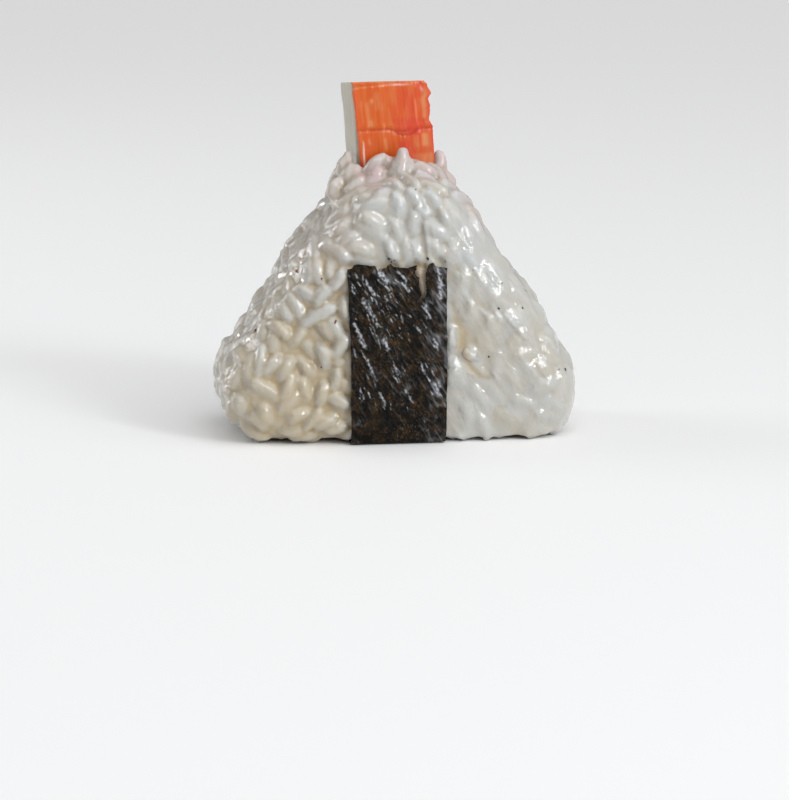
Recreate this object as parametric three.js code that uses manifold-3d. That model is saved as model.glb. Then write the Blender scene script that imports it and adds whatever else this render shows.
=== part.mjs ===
// A triangular onigiri: a pressed ball of short-grain rice, a strip of nori round its middle and a crab stick
// standing in its top. Millimetres, +Z up, the front face towards -Y, the origin under the middle of the ball.
import * as THREE from "three";
import { MeshSurfaceSampler } from "three/addons/math/MeshSurfaceSampler.js";
import { mergeVertices } from "three/addons/utils/BufferGeometryUtils.js";
import Module from "manifold-3d";

const wasm = await Module();
wasm.setup();

// ---- driving dimensions ----

// The ball's outline, seen from the front, is the hull of three circles: the top and the two lower corners.
// It is cut flat at z = 0, where the ball has settled under its own weight.
const ball = {
  corners: [
    { x: 0.7, z: 52.1, r: 14.6 },
    { x: -28.3, z: 12.2, r: 13.5 },
    { x: 24.4, z: 10.6, r: 17.6 },
  ],
  thickness: 38,
  edgeRadius: 9,
  height: 66.7,
  halfWidth: 42,
  taper: 0.05, // the share by which the ball is thicker at its foot and thinner at its top
  dome: 0.05, // the share by which its two faces swell in the middle
  hollow: { x: -24, z: 22, radius: 10, share: 0.09 }, // the looser, sunken part of the front
  cornerSteps: 4,
  sideSteps: 2,
  edgeSteps: 3,
  faceRings: [0.5], // how far out the rings within the flat faces lie, as shares of the way
};

const grain = {
  length: 6.8,
  width: 3.3,
  height: 3.2,
  sides: 5,
  sink: 1.35, // how far the bare core lies inside the outline that the grains reach
  depth: 0.18, // how far the middle of a grain lies under the surface of the core
  tilt: 0.16, // radians by which one end may stand proud where the rice is loose
  pressedTilt: 0.06, // and right of the nori, where it is pressed
  slope: { x: 0.55, z: -0.84 }, // the way the pressed grains tend to lie, down the right side
  spacing: 0.88, // how close grains may lie, as a share of their width
  lowest: 1.3,
  count: 400,
  tries: 60000,
  seed: 7,
};

const nori = {
  left: -12.6,
  right: 9.5,
  top: 41.9,
  thickness: 0.4,
  gap: 0.3,
  foot: 0.15, // its underside is pressed up into the rice, clear of what the ball stands on
  cornerZ: 4.8, // where the flat face starts to turn under
  ragged: 0.45, // how far the torn top edge strays from a straight line
  tear: { left: 2.5, right: 5.5, point: 4.2, bottom: 35.4 },
};

const stick = {
  width: 17.8,
  depth: 8.8, // the white flesh, without the red skin in front of it
  corner: 1.5,
  top: 81.9,
  bottom: 48,
  lean: -0.088, // how far its sides move along X for each millimetre up, while its cut ends stay level
  turn: 0.17, // radians about the vertical, so that the left side shows from the front
  pivot: { x: 0.1, z: 52 },
  wave: 0.3, // how far the right side strays along the fibres
  crease: { z: 71.3, depth: 0.35, halfHeight: 1.2 },
  levels: 15,
};

const skin = { thickness: 0.9, gap: 0.3, corner: 0.35, overhang: 0.2 };

// Grains that stand against the crab stick where it leaves the rice, lower towards its two sides.
const collar = { length: 6.4, width: 3, height: 2.7, gap: 0.35, z: 62, rise: 2, fall: 0.05, lean: 1.5, count: 16 };

const pocketGap = 0.35;
const beyond = 60; // half the size of the blocks that only cut

// ---- helpers ----

function seededRandom(seed) {
  let state = seed >>> 0;
  return () => {
    state = (state + 0x6d2b79f5) >>> 0;
    let t = Math.imul(state ^ (state >>> 15), 1 | state);
    t = (t + Math.imul(t ^ (t >>> 7), 61 | t)) ^ t;
    return ((t ^ (t >>> 14)) >>> 0) / 4294967296;
  };
}

function solidFrom(geometry) {
  const bare = geometry.index ? geometry.toNonIndexed() : geometry.clone();
  bare.deleteAttribute("normal");
  bare.deleteAttribute("uv");
  const merged = mergeVertices(bare, 1e-4);
  return new wasm.Manifold(
    new wasm.Mesh({
      numProp: 3,
      vertProperties: merged.attributes.position.array,
      triVerts: new Uint32Array(merged.index.array),
    }),
  );
}

function geometryFrom(solid) {
  const mesh = solid.getMesh();
  const positions = new Float32Array(mesh.numVert * 3);
  for (let i = 0; i < mesh.numVert; i++) {
    positions.set(mesh.vertProperties.subarray(i * mesh.numProp, i * mesh.numProp + 3), i * 3);
  }
  const geometry = new THREE.BufferGeometry();
  geometry.setAttribute("position", new THREE.BufferAttribute(positions, 3));
  geometry.setIndex(new THREE.BufferAttribute(mesh.triVerts, 1));
  geometry.computeVertexNormals();
  return geometry;
}

function block(x0, x1, y0, y1, z0, z1) {
  const geometry = new THREE.BoxGeometry(x1 - x0, y1 - y0, z1 - z0);
  return solidFrom(geometry.translate((x0 + x1) / 2, (y0 + y1) / 2, (z0 + z1) / 2));
}

// A closed body through rings of points, all with the same number of points, with a fan at each end.
function loft(rings) {
  const around = rings[0].length;
  const positions = rings.flat().flatMap((p) => [p.x, p.y, p.z]);
  const index = [];
  for (let k = 0; k + 1 < rings.length; k++) {
    for (let i = 0; i < around; i++) {
      const a = k * around + i;
      const b = k * around + ((i + 1) % around);
      index.push(a, b, b + around, a, b + around, a + around);
    }
  }
  [rings[0], rings.at(-1)].forEach((ring, isLast) => {
    const middle = ring.reduce((sum, p) => sum.add(p), new THREE.Vector3()).divideScalar(around);
    const centre = positions.length / 3;
    const first = isLast ? (rings.length - 1) * around : 0;
    positions.push(middle.x, middle.y, middle.z);
    for (let i = 0; i < around; i++) {
      const a = first + i;
      const b = first + ((i + 1) % around);
      index.push(centre, isLast ? a : b, isLast ? b : a);
    }
  });
  const geometry = new THREE.BufferGeometry();
  geometry.setAttribute("position", new THREE.Float32BufferAttribute(positions, 3));
  geometry.setIndex(index);
  return geometry;
}

// ---- the ball's form ----

// The directions in which the three straight sides face.
const facing = ball.corners.map((a, i) => {
  const b = ball.corners[(i + 1) % ball.corners.length];
  const apart = Math.hypot(b.x - a.x, b.z - a.z);
  return Math.atan2(b.z - a.z, b.x - a.x) - Math.acos((a.r - b.r) / apart);
});

// Points round the outline in x and z, moved outwards by offset.
function outlinePoints(offset) {
  const arcs = ball.corners.map((c, i) => {
    const arc = new THREE.EllipseCurve(
      c.x, c.z, c.r + offset, c.r + offset, facing.at(i - 1), facing[i], false,
    );
    return arc.getPoints(ball.cornerSteps);
  });
  return arcs.flatMap((arc, i) => {
    const side = new THREE.LineCurve(arc.at(-1), arcs[(i + 1) % arcs.length][0]);
    return [...arc, ...side.getPoints(ball.sideSteps).slice(1, -1)];
  });
}

// Pressing makes the ball swell and taper: only y changes.
function settled(geometry) {
  const p = geometry.attributes.position;
  for (let i = 0; i < p.count; i++) {
    const up = (2 * p.getZ(i)) / ball.height - 1;
    const across = p.getX(i) / ball.halfWidth;
    const swell = ball.dome * (1 - across * across - up * up) - ball.taper * up;
    const away = Math.hypot(p.getX(i) - ball.hollow.x, p.getZ(i) - ball.hollow.z) / ball.hollow.radius;
    const hollow = p.getY(i) < 0 ? ball.hollow.share * Math.exp(-away * away) : 0;
    p.setY(i, p.getY(i) * (1 + swell - hollow));
  }
  geometry.computeVertexNormals();
  return geometry;
}

// The outline given its thickness and its round edges, all moved inwards by inset and not yet cut at the foot.
function ballForm(inset) {
  const edge = ball.edgeRadius - inset;
  const halfFlat = ball.thickness / 2 - ball.edgeRadius;
  const face = outlinePoints(-ball.edgeRadius);
  const middle = face.reduce((sum, p) => sum.add(p), new THREE.Vector2()).divideScalar(face.length);
  const front = ball.faceRings.map((share) => ({
    points: face.map((p) => middle.clone().lerp(p, share)),
    y: -halfFlat - edge,
  }));
  for (let k = 0; k <= ball.edgeSteps; k++) {
    const angle = ((Math.PI / 2) * k) / ball.edgeSteps;
    front.push({
      points: outlinePoints(edge * Math.sin(angle) - ball.edgeRadius),
      y: -halfFlat - edge * Math.cos(angle),
    });
  }
  const back = front.map(({ points, y }) => ({ points, y: -y }));
  const rings = [...back, ...front.reverse()];
  return loft(rings.map(({ points, y }) => points.map((p) => new THREE.Vector3(p.x, y, p.y))));
}

// ---- nori ----

// Half of the path that the strip takes in y and z, from under the ball to the top of one face.
function stripPath(offset, foot) {
  const halfFlat = ball.thickness / 2 - ball.edgeRadius;
  const radius = ball.edgeRadius + offset;
  const turn = Math.asin((nori.cornerZ - foot) / radius);
  const path = [new THREE.Vector2(halfFlat / 2, foot)];
  for (let k = 3; k >= 0; k--) {
    const angle = (turn * k) / 3;
    path.push(
      new THREE.Vector2(halfFlat + radius * Math.cos(angle), nori.cornerZ - radius * Math.sin(angle)),
    );
  }
  const panelSteps = 5;
  const panelTop = nori.top + nori.ragged;
  for (let k = 1; k <= panelSteps; k++) {
    const z = nori.cornerZ + ((panelTop - nori.cornerZ) * k) / panelSteps;
    path.push(new THREE.Vector2(ball.thickness / 2 + offset, z));
  }
  return path;
}

// The path on both faces, from the top of the front to the top of the back.
function wholePath(offset, foot) {
  const half = stripPath(offset, foot);
  const front = half.map((p) => new THREE.Vector2(-p.x, p.y)).reverse();
  return [...front, ...half];
}

function extrudedAcross(points, x0, x1) {
  const geometry = new THREE.ExtrudeGeometry(new THREE.Shape(points), {
    depth: x1 - x0,
    steps: 4,
    bevelEnabled: false,
  });
  // The section's y and z come to lie along y and z, and its depth along x.
  geometry.applyMatrix4(
    new THREE.Matrix4().makeBasis(
      new THREE.Vector3(0, 1, 0),
      new THREE.Vector3(0, 0, 1),
      new THREE.Vector3(1, 0, 0),
    ),
  );
  return geometry.translate(x0, 0, 0);
}

const raggedEdge = (x, phase) =>
  nori.top + nori.ragged * (0.6 * Math.sin(1.9 * x + phase) + 0.4 * Math.sin(4.3 * x + 2 * phase));

// What is torn off above the strip, on one face, and out of its tear.
function tornOff(side, phase, tear) {
  const points = [];
  for (let x = nori.left - 1; x <= nori.right + 1; x += 1.1) {
    const inTear = tear && x > tear.left && x < tear.right;
    if (!inTear) points.push(new THREE.Vector2(x, raggedEdge(x, phase)));
  }
  if (tear) {
    const after = points.findIndex((p) => p.x >= tear.right);
    points.splice(
      after,
      0,
      new THREE.Vector2(tear.left, nori.top - 0.2),
      new THREE.Vector2(tear.left + 0.6, (nori.top + tear.bottom) / 2),
      new THREE.Vector2(tear.point - 0.5, tear.bottom),
      new THREE.Vector2(tear.point + 0.4, tear.bottom + 0.3),
      new THREE.Vector2(tear.right - 0.4, (nori.top + tear.bottom) / 2 + 1),
      new THREE.Vector2(tear.right, nori.top - 0.2),
    );
  }
  points.push(new THREE.Vector2(nori.right + 1, nori.top + 5), new THREE.Vector2(nori.left - 1, nori.top + 5));
  const geometry = new THREE.ExtrudeGeometry(new THREE.Shape(points), {
    depth: ball.thickness,
    bevelEnabled: false,
  });
  geometry.rotateX(Math.PI / 2);
  return solidFrom(geometry.translate(0, side < 0 ? 0 : ball.thickness, 0));
}

function noriStrip() {
  const outside = wholePath(nori.gap + nori.thickness, nori.foot);
  const inside = wholePath(nori.gap, nori.foot + nori.thickness);
  const strip = extrudedAcross([...outside, ...inside.reverse()], nori.left, nori.right);
  return solidFrom(settled(strip))
    .subtract(tornOff(-1, 0.4, nori.tear))
    .subtract(tornOff(1, 2.1, null));
}

// The pressed rice that the strip lies on.
function stripBed() {
  const path = wholePath(0, nori.foot + nori.thickness + nori.gap);
  return solidFrom(settled(extrudedAcross(path, nori.left - nori.gap, nori.right + nori.gap)));
}

// ---- crab stick ----

const stickMatrix = new THREE.Matrix4()
  .makeTranslation(stick.pivot.x, 0, stick.pivot.z)
  .multiply(new THREE.Matrix4().makeShear(0, 0, 0, 0, stick.lean, 0))
  .multiply(new THREE.Matrix4().makeRotationZ(stick.turn));
const toStick = stickMatrix.clone().invert();

const frontY = -stick.depth / 2;
const backY = stick.depth / 2;
const skinFrontY = frontY - skin.gap - skin.thickness;

// How far a point lies outside the stick, its skin included.
function outsideStick(point) {
  const p = point.clone().applyMatrix4(toStick);
  const middleY = (skinFrontY + backY) / 2;
  const dx = Math.abs(p.x) - stick.width / 2;
  const dy = Math.abs(p.y - middleY) - (backY - skinFrontY) / 2;
  const dz = stick.bottom - stick.pivot.z - p.z;
  return Math.max(dx, dy, dz);
}

// A rounded rectangle round the stick's axis at a height above its pivot.
function stickRing(height, box) {
  const z = height + stick.pivot.z;
  const wave = box.wavy ? stick.wave * (Math.sin(1.15 * z) + 0.6 * Math.sin(0.47 * z + 1)) : 0;
  const fold = Math.abs(z - stick.crease.z) / stick.crease.halfHeight;
  const crease = box.creased && fold < 1 ? stick.crease.depth * (1 - fold) : 0;
  const r = box.corner;
  const corners = [
    [box.x1 + wave - r, box.y1 - r],
    [box.x0 + r, box.y1 - r],
    [box.x0 + r, box.y0 + crease + r],
    [box.x1 + wave - r, box.y0 + crease + r],
  ];
  return corners.flatMap(([x, y], quarter) =>
    [0, 1, 2].map((k) => {
      const a = (Math.PI / 2) * (quarter + k / 2);
      const p = new THREE.Vector3(x + r * Math.cos(a), y + r * Math.sin(a), height);
      return p.applyMatrix4(stickMatrix);
    }),
  );
}

function stickLoft(box, bottom, top, levels) {
  const rings = [];
  for (let k = 0; k <= levels; k++) {
    const z = bottom + ((top - bottom) * k) / levels;
    rings.push(stickRing(z - stick.pivot.z, box));
  }
  return solidFrom(loft(rings));
}

function fleshSolid() {
  const half = stick.width / 2;
  const box = { x0: -half, x1: half, y0: frontY, y1: backY, corner: stick.corner, wavy: true };
  return stickLoft(box, stick.bottom, stick.top, stick.levels);
}

function skinSolid() {
  const half = stick.width / 2;
  const box = {
    x0: -half + skin.overhang,
    x1: half + skin.overhang,
    y0: skinFrontY,
    y1: frontY - skin.gap,
    corner: skin.corner,
    wavy: true,
    creased: true,
  };
  return stickLoft(box, stick.bottom, stick.top, stick.levels);
}

function pocketSolid() {
  const half = stick.width / 2 + pocketGap + 2 * stick.wave;
  const box = { x0: -half + stick.wave, x1: half, y0: skinFrontY - pocketGap, y1: backY + pocketGap };
  return stickLoft({ ...box, corner: 0.6 }, stick.bottom - pocketGap, stick.top + 5, 1);
}

// ---- rice ----

// One grain lies along x. It has blunt ends and few sides.
function grainGeometry(length, width, height) {
  const profile = [
    [0, -0.5],
    [0.46, -0.3],
    [0.46, 0.3],
    [0, 0.5],
  ].map(([radius, along]) => new THREE.Vector2(radius, along));
  const geometry = new THREE.LatheGeometry(profile, grain.sides, -Math.PI / 2);
  geometry.rotateZ(-Math.PI / 2);
  return geometry.scale(length, height, width);
}

// Points that stand for a grain when it is kept clear of other things.
function spineOf(centre, along, length) {
  return [-0.3, 0, 0.3].map((t) => centre.clone().addScaledVector(along, t * length));
}

const touchesStrip = (p, margin) =>
  p.x > nori.left - margin &&
  p.x < nori.right + margin &&
  p.z < nori.top + margin &&
  Math.abs(p.y) > ball.thickness / 2 - ball.edgeRadius;

// Seeded darts: a grain is kept where it lies clear of the grains already there, the nori and the crab stick.
function laidGrains(coreGeometry) {
  const random = seededRandom(grain.seed);
  const sampler = new MeshSurfaceSampler(new THREE.Mesh(coreGeometry));
  sampler.setRandomGenerator(random).build();
  const point = new THREE.Vector3();
  const normal = new THREE.Vector3();
  const clear = grain.width * grain.spacing;
  const kept = [];
  for (let n = 0; n < grain.tries && kept.length < grain.count; n++) {
    sampler.sample(point, normal);
    const length = grain.length * (0.9 + 0.2 * random());
    const heading = new THREE.Vector3(random() - 0.5, random() - 0.5, random() - 0.5);
    const pressed = point.x > nori.right;
    if (pressed) heading.add(new THREE.Vector3(grain.slope.x, 0, grain.slope.z));
    const side = heading.cross(normal).normalize();
    const along = side.clone().cross(normal);
    along.applyAxisAngle(side, (pressed ? grain.pressedTilt : grain.tilt) * (2 * random() - 1));
    const centre = point.clone().addScaledVector(normal, -grain.depth);
    const spine = spineOf(centre, along, length);
    const blocked =
      centre.z < grain.lowest ||
      spine.some((p) => touchesStrip(p, nori.gap + grain.width / 2)) ||
      spine.some((p) => outsideStick(p) < collar.width + collar.gap) ||
      kept.some((k) => k.spine.some((a) => spine.some((b) => a.distanceTo(b) < clear)));
    if (!blocked) kept.push({ centre, along, side, length, spine });
  }
  return kept;
}

function placedGrain({ centre, along, side, length }, width, height) {
  const up = new THREE.Vector3().crossVectors(side, along).normalize();
  const basis = new THREE.Matrix4().makeBasis(along, up, new THREE.Vector3().crossVectors(along, up));
  return grainGeometry(length, width, height).applyMatrix4(basis.setPosition(centre));
}

// Grains stand round the stick, leaning this way and that.
function collarGrains() {
  const random = seededRandom(grain.seed + 1);
  const reach = collar.gap + collar.height / 2;
  const halfX = stick.width / 2 + stick.wave + reach;
  const round = new THREE.Path([
    new THREE.Vector2(-halfX, skinFrontY - reach),
    new THREE.Vector2(halfX, skinFrontY - reach),
    new THREE.Vector2(halfX, backY + reach),
    new THREE.Vector2(-halfX, backY + reach),
  ]);
  round.closePath();
  const grains = [];
  for (let k = 0; k < collar.count; k++) {
    const share = (k + 0.4 * random()) / collar.count;
    const spot = round.getPointAt(share);
    const tangent = round.getTangentAt(share);
    const height = collar.z + collar.rise * random() - collar.fall * spot.x * spot.x;
    const outwards = new THREE.Vector3(tangent.y, -tangent.x, 0);
    const along = new THREE.Vector3(0, 0, 1).applyAxisAngle(outwards, collar.lean * (random() - 0.5));
    grains.push({
      centre: new THREE.Vector3(spot.x, spot.y, height - stick.pivot.z).applyMatrix4(stickMatrix),
      along: along.transformDirection(stickMatrix),
      side: outwards.clone().cross(along).normalize(),
      length: collar.length * (0.9 + 0.2 * random()),
    });
  }
  return grains;
}

function riceBall() {
  const coreGeometry = settled(ballForm(grain.sink));
  const laid = laidGrains(coreGeometry).map((g) => solidFrom(placedGrain(g, grain.width, grain.height)));
  const standing = collarGrains().map((g) => solidFrom(placedGrain(g, collar.width, collar.height)));
  const heap = wasm.Manifold.union([
    solidFrom(coreGeometry),
    stripBed(),
    ...laid,
    ...standing,
  ]);
  const underFloor = block(-beyond, beyond, -beyond, beyond, -beyond, 0);
  const foot = nori.foot + nori.thickness + nori.gap;
  const channel = block(nori.left - nori.gap, nori.right + nori.gap, -beyond, beyond, -beyond, foot);
  return heap.subtract(underFloor).subtract(channel).subtract(pocketSolid());
}

// ---- the object ----

const group = new THREE.Group();

function addPart(name, solid, color, roughness) {
  const material = new THREE.MeshStandardMaterial({ color, roughness, metalness: 0 });
  const mesh = new THREE.Mesh(geometryFrom(solid), material);
  mesh.name = name;
  group.add(mesh);
}

addPart("rice_ball", riceBall(), 0xe6e1d6, 0.35);
addPart("nori_strip", noriStrip(), 0x17150f, 0.3);
addPart("crab_stick_flesh", fleshSolid(), 0xe9e2d6, 0.4);
addPart("crab_stick_skin", skinSolid(), 0xe2562a, 0.35);

export default group;
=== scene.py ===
import math

import bmesh
import bpy
import numpy as np
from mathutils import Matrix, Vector, noise
from mathutils.bvhtree import BVHTree
from mathutils.kdtree import KDTree


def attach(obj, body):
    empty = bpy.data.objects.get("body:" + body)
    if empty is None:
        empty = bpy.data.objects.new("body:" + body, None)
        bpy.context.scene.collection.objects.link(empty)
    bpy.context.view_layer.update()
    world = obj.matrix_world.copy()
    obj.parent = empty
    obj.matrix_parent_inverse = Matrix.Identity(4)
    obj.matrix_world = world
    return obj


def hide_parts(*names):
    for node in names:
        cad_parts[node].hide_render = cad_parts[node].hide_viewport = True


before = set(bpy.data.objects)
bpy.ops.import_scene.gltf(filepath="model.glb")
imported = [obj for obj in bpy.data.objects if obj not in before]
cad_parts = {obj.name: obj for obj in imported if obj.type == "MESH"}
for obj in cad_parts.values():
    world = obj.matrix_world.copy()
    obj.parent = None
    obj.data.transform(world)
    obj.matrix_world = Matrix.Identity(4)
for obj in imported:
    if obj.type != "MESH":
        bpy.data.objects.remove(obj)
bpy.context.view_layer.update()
mm = 0.001  # everything below is worked out in millimetres

# camera first: a long lens, a little to the left and a little above
camera = {
    "turn": -8.0,      # degrees round the ball, negative is to the left
    "height": 11.0,    # degrees above the table
    "distance": 650.0,
    "lens": 123.9,
    "target": (0.3, 0.0, 6.6),
}

cameraData = bpy.data.cameras.new("camera")
cameraData.lens = camera["lens"]
cameraData.sensor_width = 36
cameraData.clip_start, cameraData.clip_end = 0.01, 20
cameraObject = bpy.data.objects.new("camera", cameraData)
bpy.context.scene.collection.objects.link(cameraObject)
turn, height = math.radians(camera["turn"]), math.radians(camera["height"])
away = Vector((math.sin(turn) * math.cos(height), -math.cos(turn) * math.cos(height), math.sin(height)))
cameraObject.location = (Vector(camera["target"]) + away * camera["distance"]) * mm
cameraObject.rotation_euler = (-away).to_track_quat("-Z", "Y").to_euler()
bpy.context.scene.camera = cameraObject


# small helpers

def store(mesh, name, kind, values):
    # values kept on the points, for the material to read
    layer = mesh.attributes.new(name, kind, "POINT")
    layer.data.foreach_set("value" if kind == "FLOAT" else "color", np.asarray(values, np.float32).ravel())


def addPiece(name, points, faces, material, replaced=(), tint=None):
    mesh = bpy.data.meshes.new(name)
    mesh.from_pydata((np.asarray(points, float) * mm).tolist(), [], faces)
    mesh.polygons.foreach_set("use_smooth", [True] * len(mesh.polygons))
    if tint is not None:
        store(mesh, "tint", "FLOAT_COLOR", tint)
    mesh.materials.append(material)
    mesh.update()
    piece = bpy.data.objects.new(name, mesh)
    bpy.context.scene.collection.objects.link(piece)
    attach(piece, "root")
    if replaced:
        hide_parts(*replaced)
    return piece


def applyModifiers(piece):
    graph = bpy.context.evaluated_depsgraph_get()
    evaluated = piece.evaluated_get(graph)
    mesh = bpy.data.meshes.new_from_object(evaluated, preserve_all_data_layers=True, depsgraph=graph)
    piece.modifiers.clear()
    piece.data = mesh


def gridFaces(rows, columns, closed=False):
    faces = []
    for r in range(rows - 1):
        for c in range(columns if closed else columns - 1):
            d = (c + 1) % columns
            faces.append((r * columns + c, r * columns + d, (r + 1) * columns + d, (r + 1) * columns + c))
    return faces


def closedFaces(rows, columns, firstTip, lastTip):
    # rings with a fan of triangles at each end
    last = (rows - 1) * columns
    faces = gridFaces(rows, columns, closed=True)
    faces += [((c + 1) % columns, c, firstTip) for c in range(columns)]
    faces += [(last + c, last + (c + 1) % columns, lastTip) for c in range(columns)]
    return faces


def at(x, y, z):
    # one point for each value, where any of the three may be a single number
    return np.stack(np.broadcast_arrays(x, y, z), 1)


def wave(points, size, seed=0.0):
    # smooth noise from -1 to 1, for each point
    shift = Vector((seed * 7.31, seed * 3.17, seed * 5.73))
    return np.array([noise.noise(Vector(p) / size + shift) for p in points])


def rise(value, start, over):
    # 0 up to the start, then up to 1
    return np.clip((value - start) / over, 0, 1)


def fade(value, end, over):
    # falls to 0 at the end
    return np.clip((end - value) / over, 0, 1)


def bell(value, middle, half):
    # 1 in the middle, falling off on both sides
    return np.exp(-((value - middle) / half) ** 2)


def around(x, z, middleX, middleZ, radius):
    # the same round a place
    return np.exp(-((x - middleX) ** 2 + (z - middleZ) ** 2) / radius ** 2)


def patch(x, z, middleX, middleZ, wide, tall):
    # the same in an oval
    return np.exp(-((x - middleX) / wide) ** 2 - ((z - middleZ) / tall) ** 2)


def onFront(y):
    return rise(-y, 8, 4)


def slanted(x, z):
    # across and along the lines that run down to the right
    return x * 0.84 + z * 0.54, z * 0.84 - x * 0.54


def strokes(x, z, table):
    # the height of drawn ridges, each with both ends (x, z, x, z), half width and height
    total = np.zeros_like(x)
    for x1, z1, x2, z2, half, high in table:
        t = ((x - x1) * (x2 - x1) + (z - z1) * (z2 - z1)) / ((x2 - x1) ** 2 + (z2 - z1) ** 2)
        t = np.clip(t, 0, 1)
        apart = np.hypot(x - x1 - (x2 - x1) * t, z - z1 - (z2 - z1) * t)
        total = np.maximum(total, high * bell(apart, 0, half))
    return total


def facets(x, z, table):
    # small planes at the same strokes, tilted up and to the right, where they catch the window
    steep, tilt, ending = 0.16, 0.8, 0.6
    total = np.zeros_like(x)
    for x1, z1, x2, z2, half, high in table:
        length = math.hypot(x2 - x1, z2 - z1)
        dx, dz = (x2 - x1) / length, (z2 - z1) / length
        sign = 1 if dx - dz >= 0 else -1
        across = ((x - x1) * -dz + (z - z1) * dx) * sign
        along = (x - x1) * dx + (z - z1) * dz
        ends = np.clip(np.minimum(along, length - along) / (ending * half) + 1, 0, 1)
        step = rise(across, -half, steep) * fade(across, half, 2 * half)
        total = np.maximum(total, high * tilt * half * step * ends)
    return total


def widened(table, times=1.0, more=0.0, high=None):
    # the same strokes with another half width and height
    return tuple((*row[:4], row[4] * times + more, row[5] if high is None else high) for row in table)


def shortStroke(rng, x, z, angle, length, halves, heights):
    # one that starts here and runs down to the right
    endX, endZ = x + length * math.cos(angle), z - length * math.sin(angle)
    return x, z, endX, endZ, rng.uniform(*halves), rng.uniform(*heights)


# material helpers

def newMaterial(name, sockets):
    material = bpy.data.materials.new(name)
    material.use_nodes = True
    tree = material.node_tree
    tree.nodes.clear()
    output = tree.nodes.new("ShaderNodeOutputMaterial")
    shader = tree.nodes.new("ShaderNodeBsdfPrincipled")
    tree.links.new(shader.outputs["BSDF"], output.inputs["Surface"])
    for socket, value in sockets.items():
        shader.inputs[socket].default_value = value
    return material, tree, shader


def placed(tree, scale=(1, 1, 1), rotation=(0, 0, 0)):
    # object coordinates in metres, turned and then scaled
    coordinates = tree.nodes.new("ShaderNodeTexCoord")
    mapping = tree.nodes.new("ShaderNodeMapping")
    mapping.inputs["Scale"].default_value = scale
    mapping.inputs["Rotation"].default_value = [math.radians(a) for a in rotation]
    tree.links.new(coordinates.outputs["Object"], mapping.inputs["Vector"])
    return mapping.outputs["Vector"]


def stretched(tree, scale, rotation):
    # object coordinates drawn out along turned axes
    vector = placed(tree, scale, rotation)
    vector.node.vector_type = "TEXTURE"
    return vector


def clouds(tree, scale, detail, roughness=0.5, vector=None):
    node = tree.nodes.new("ShaderNodeTexNoise")
    for socket, value in (("Scale", scale), ("Detail", detail), ("Roughness", roughness)):
        node.inputs[socket].default_value = value
    tree.links.new(placed(tree) if vector is None else vector, node.inputs["Vector"])
    return node.outputs["Fac"]


def painted(tree, name="tint"):
    node = tree.nodes.new("ShaderNodeAttribute")
    node.attribute_name = name
    return node.outputs


def channels(tree, colour):
    node = tree.nodes.new("ShaderNodeSeparateColor")
    tree.links.new(colour, node.inputs["Color"])
    return node.outputs[0], node.outputs[1], node.outputs[2]


def ramp(tree, value, stops, smooth=False):
    node = tree.nodes.new("ShaderNodeValToRGB")
    node.color_ramp.interpolation = "EASE" if smooth else "LINEAR"
    while len(node.color_ramp.elements) < len(stops):
        node.color_ramp.elements.new(0.5)
    for element, (position, colour) in zip(node.color_ramp.elements, stops):
        element.position = position
        element.color = (*colour, 1) if isinstance(colour, tuple) else (colour, colour, colour, 1)
    tree.links.new(value, node.inputs["Fac"])
    return node.outputs["Color"]


def fill(tree, socket, value):
    # a link, a colour or a plain number
    if isinstance(value, bpy.types.NodeSocket):
        tree.links.new(value, socket)
    else:
        socket.default_value = (*value, 1) if isinstance(value, tuple) else value


def blended(tree, share, first, second):
    node = tree.nodes.new("ShaderNodeMix")
    node.data_type = "RGBA"
    for socket, value in ((0, share), (6, first), (7, second)):
        fill(tree, node.inputs[socket], value)
    return node.outputs[2]


def calculated(tree, operation, first, second):
    node = tree.nodes.new("ShaderNodeMath")
    node.operation = operation
    fill(tree, node.inputs[0], first)
    fill(tree, node.inputs[1], second)
    return node.outputs[0]


def added(tree, first, second):
    return calculated(tree, "ADD", first, second)


def multiplied(tree, first, second):
    return calculated(tree, "MULTIPLY", first, second)


def bumped(tree, shader, height, distance, strength):
    node = tree.nodes.new("ShaderNodeBump")
    node.inputs["Strength"].default_value = strength
    node.inputs["Distance"].default_value = distance * mm
    tree.links.new(height, node.inputs["Height"])
    tree.links.new(node.outputs["Normal"], shader.inputs["Normal"])
    return node.outputs["Normal"]


def grey(values):
    # the same value in all three colours
    return np.stack([values, values, values, np.ones_like(values)], 1)


# the ball's form, as pressed in its mould

ball = {
    "corners": ((0.7, 52.1, 14.6), (-28.3, 12.2, 13.5), (24.4, 10.6, 17.6)),  # x, z and radius
    "thickness": 38.0,
    "edge": 9.0,
    "taper": 0.05,
    "dome": 0.05,
    "height": 66.7,
    "halfWidth": 42.0,
    "hollow": (-24.0, 22.0, 10.0, 0.09),  # x, z, radius and share of the depth
    "shoulder": 4.5,                      # how far the rice falls away before and behind the stick
    "right": ((32, 7, 1.1), (52, 4, 0.9)),  # bulges of the slopes: height, half height and how far out
    "left": ((42, 4, 0.9), (57, 4, -0.8)),
}


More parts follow.
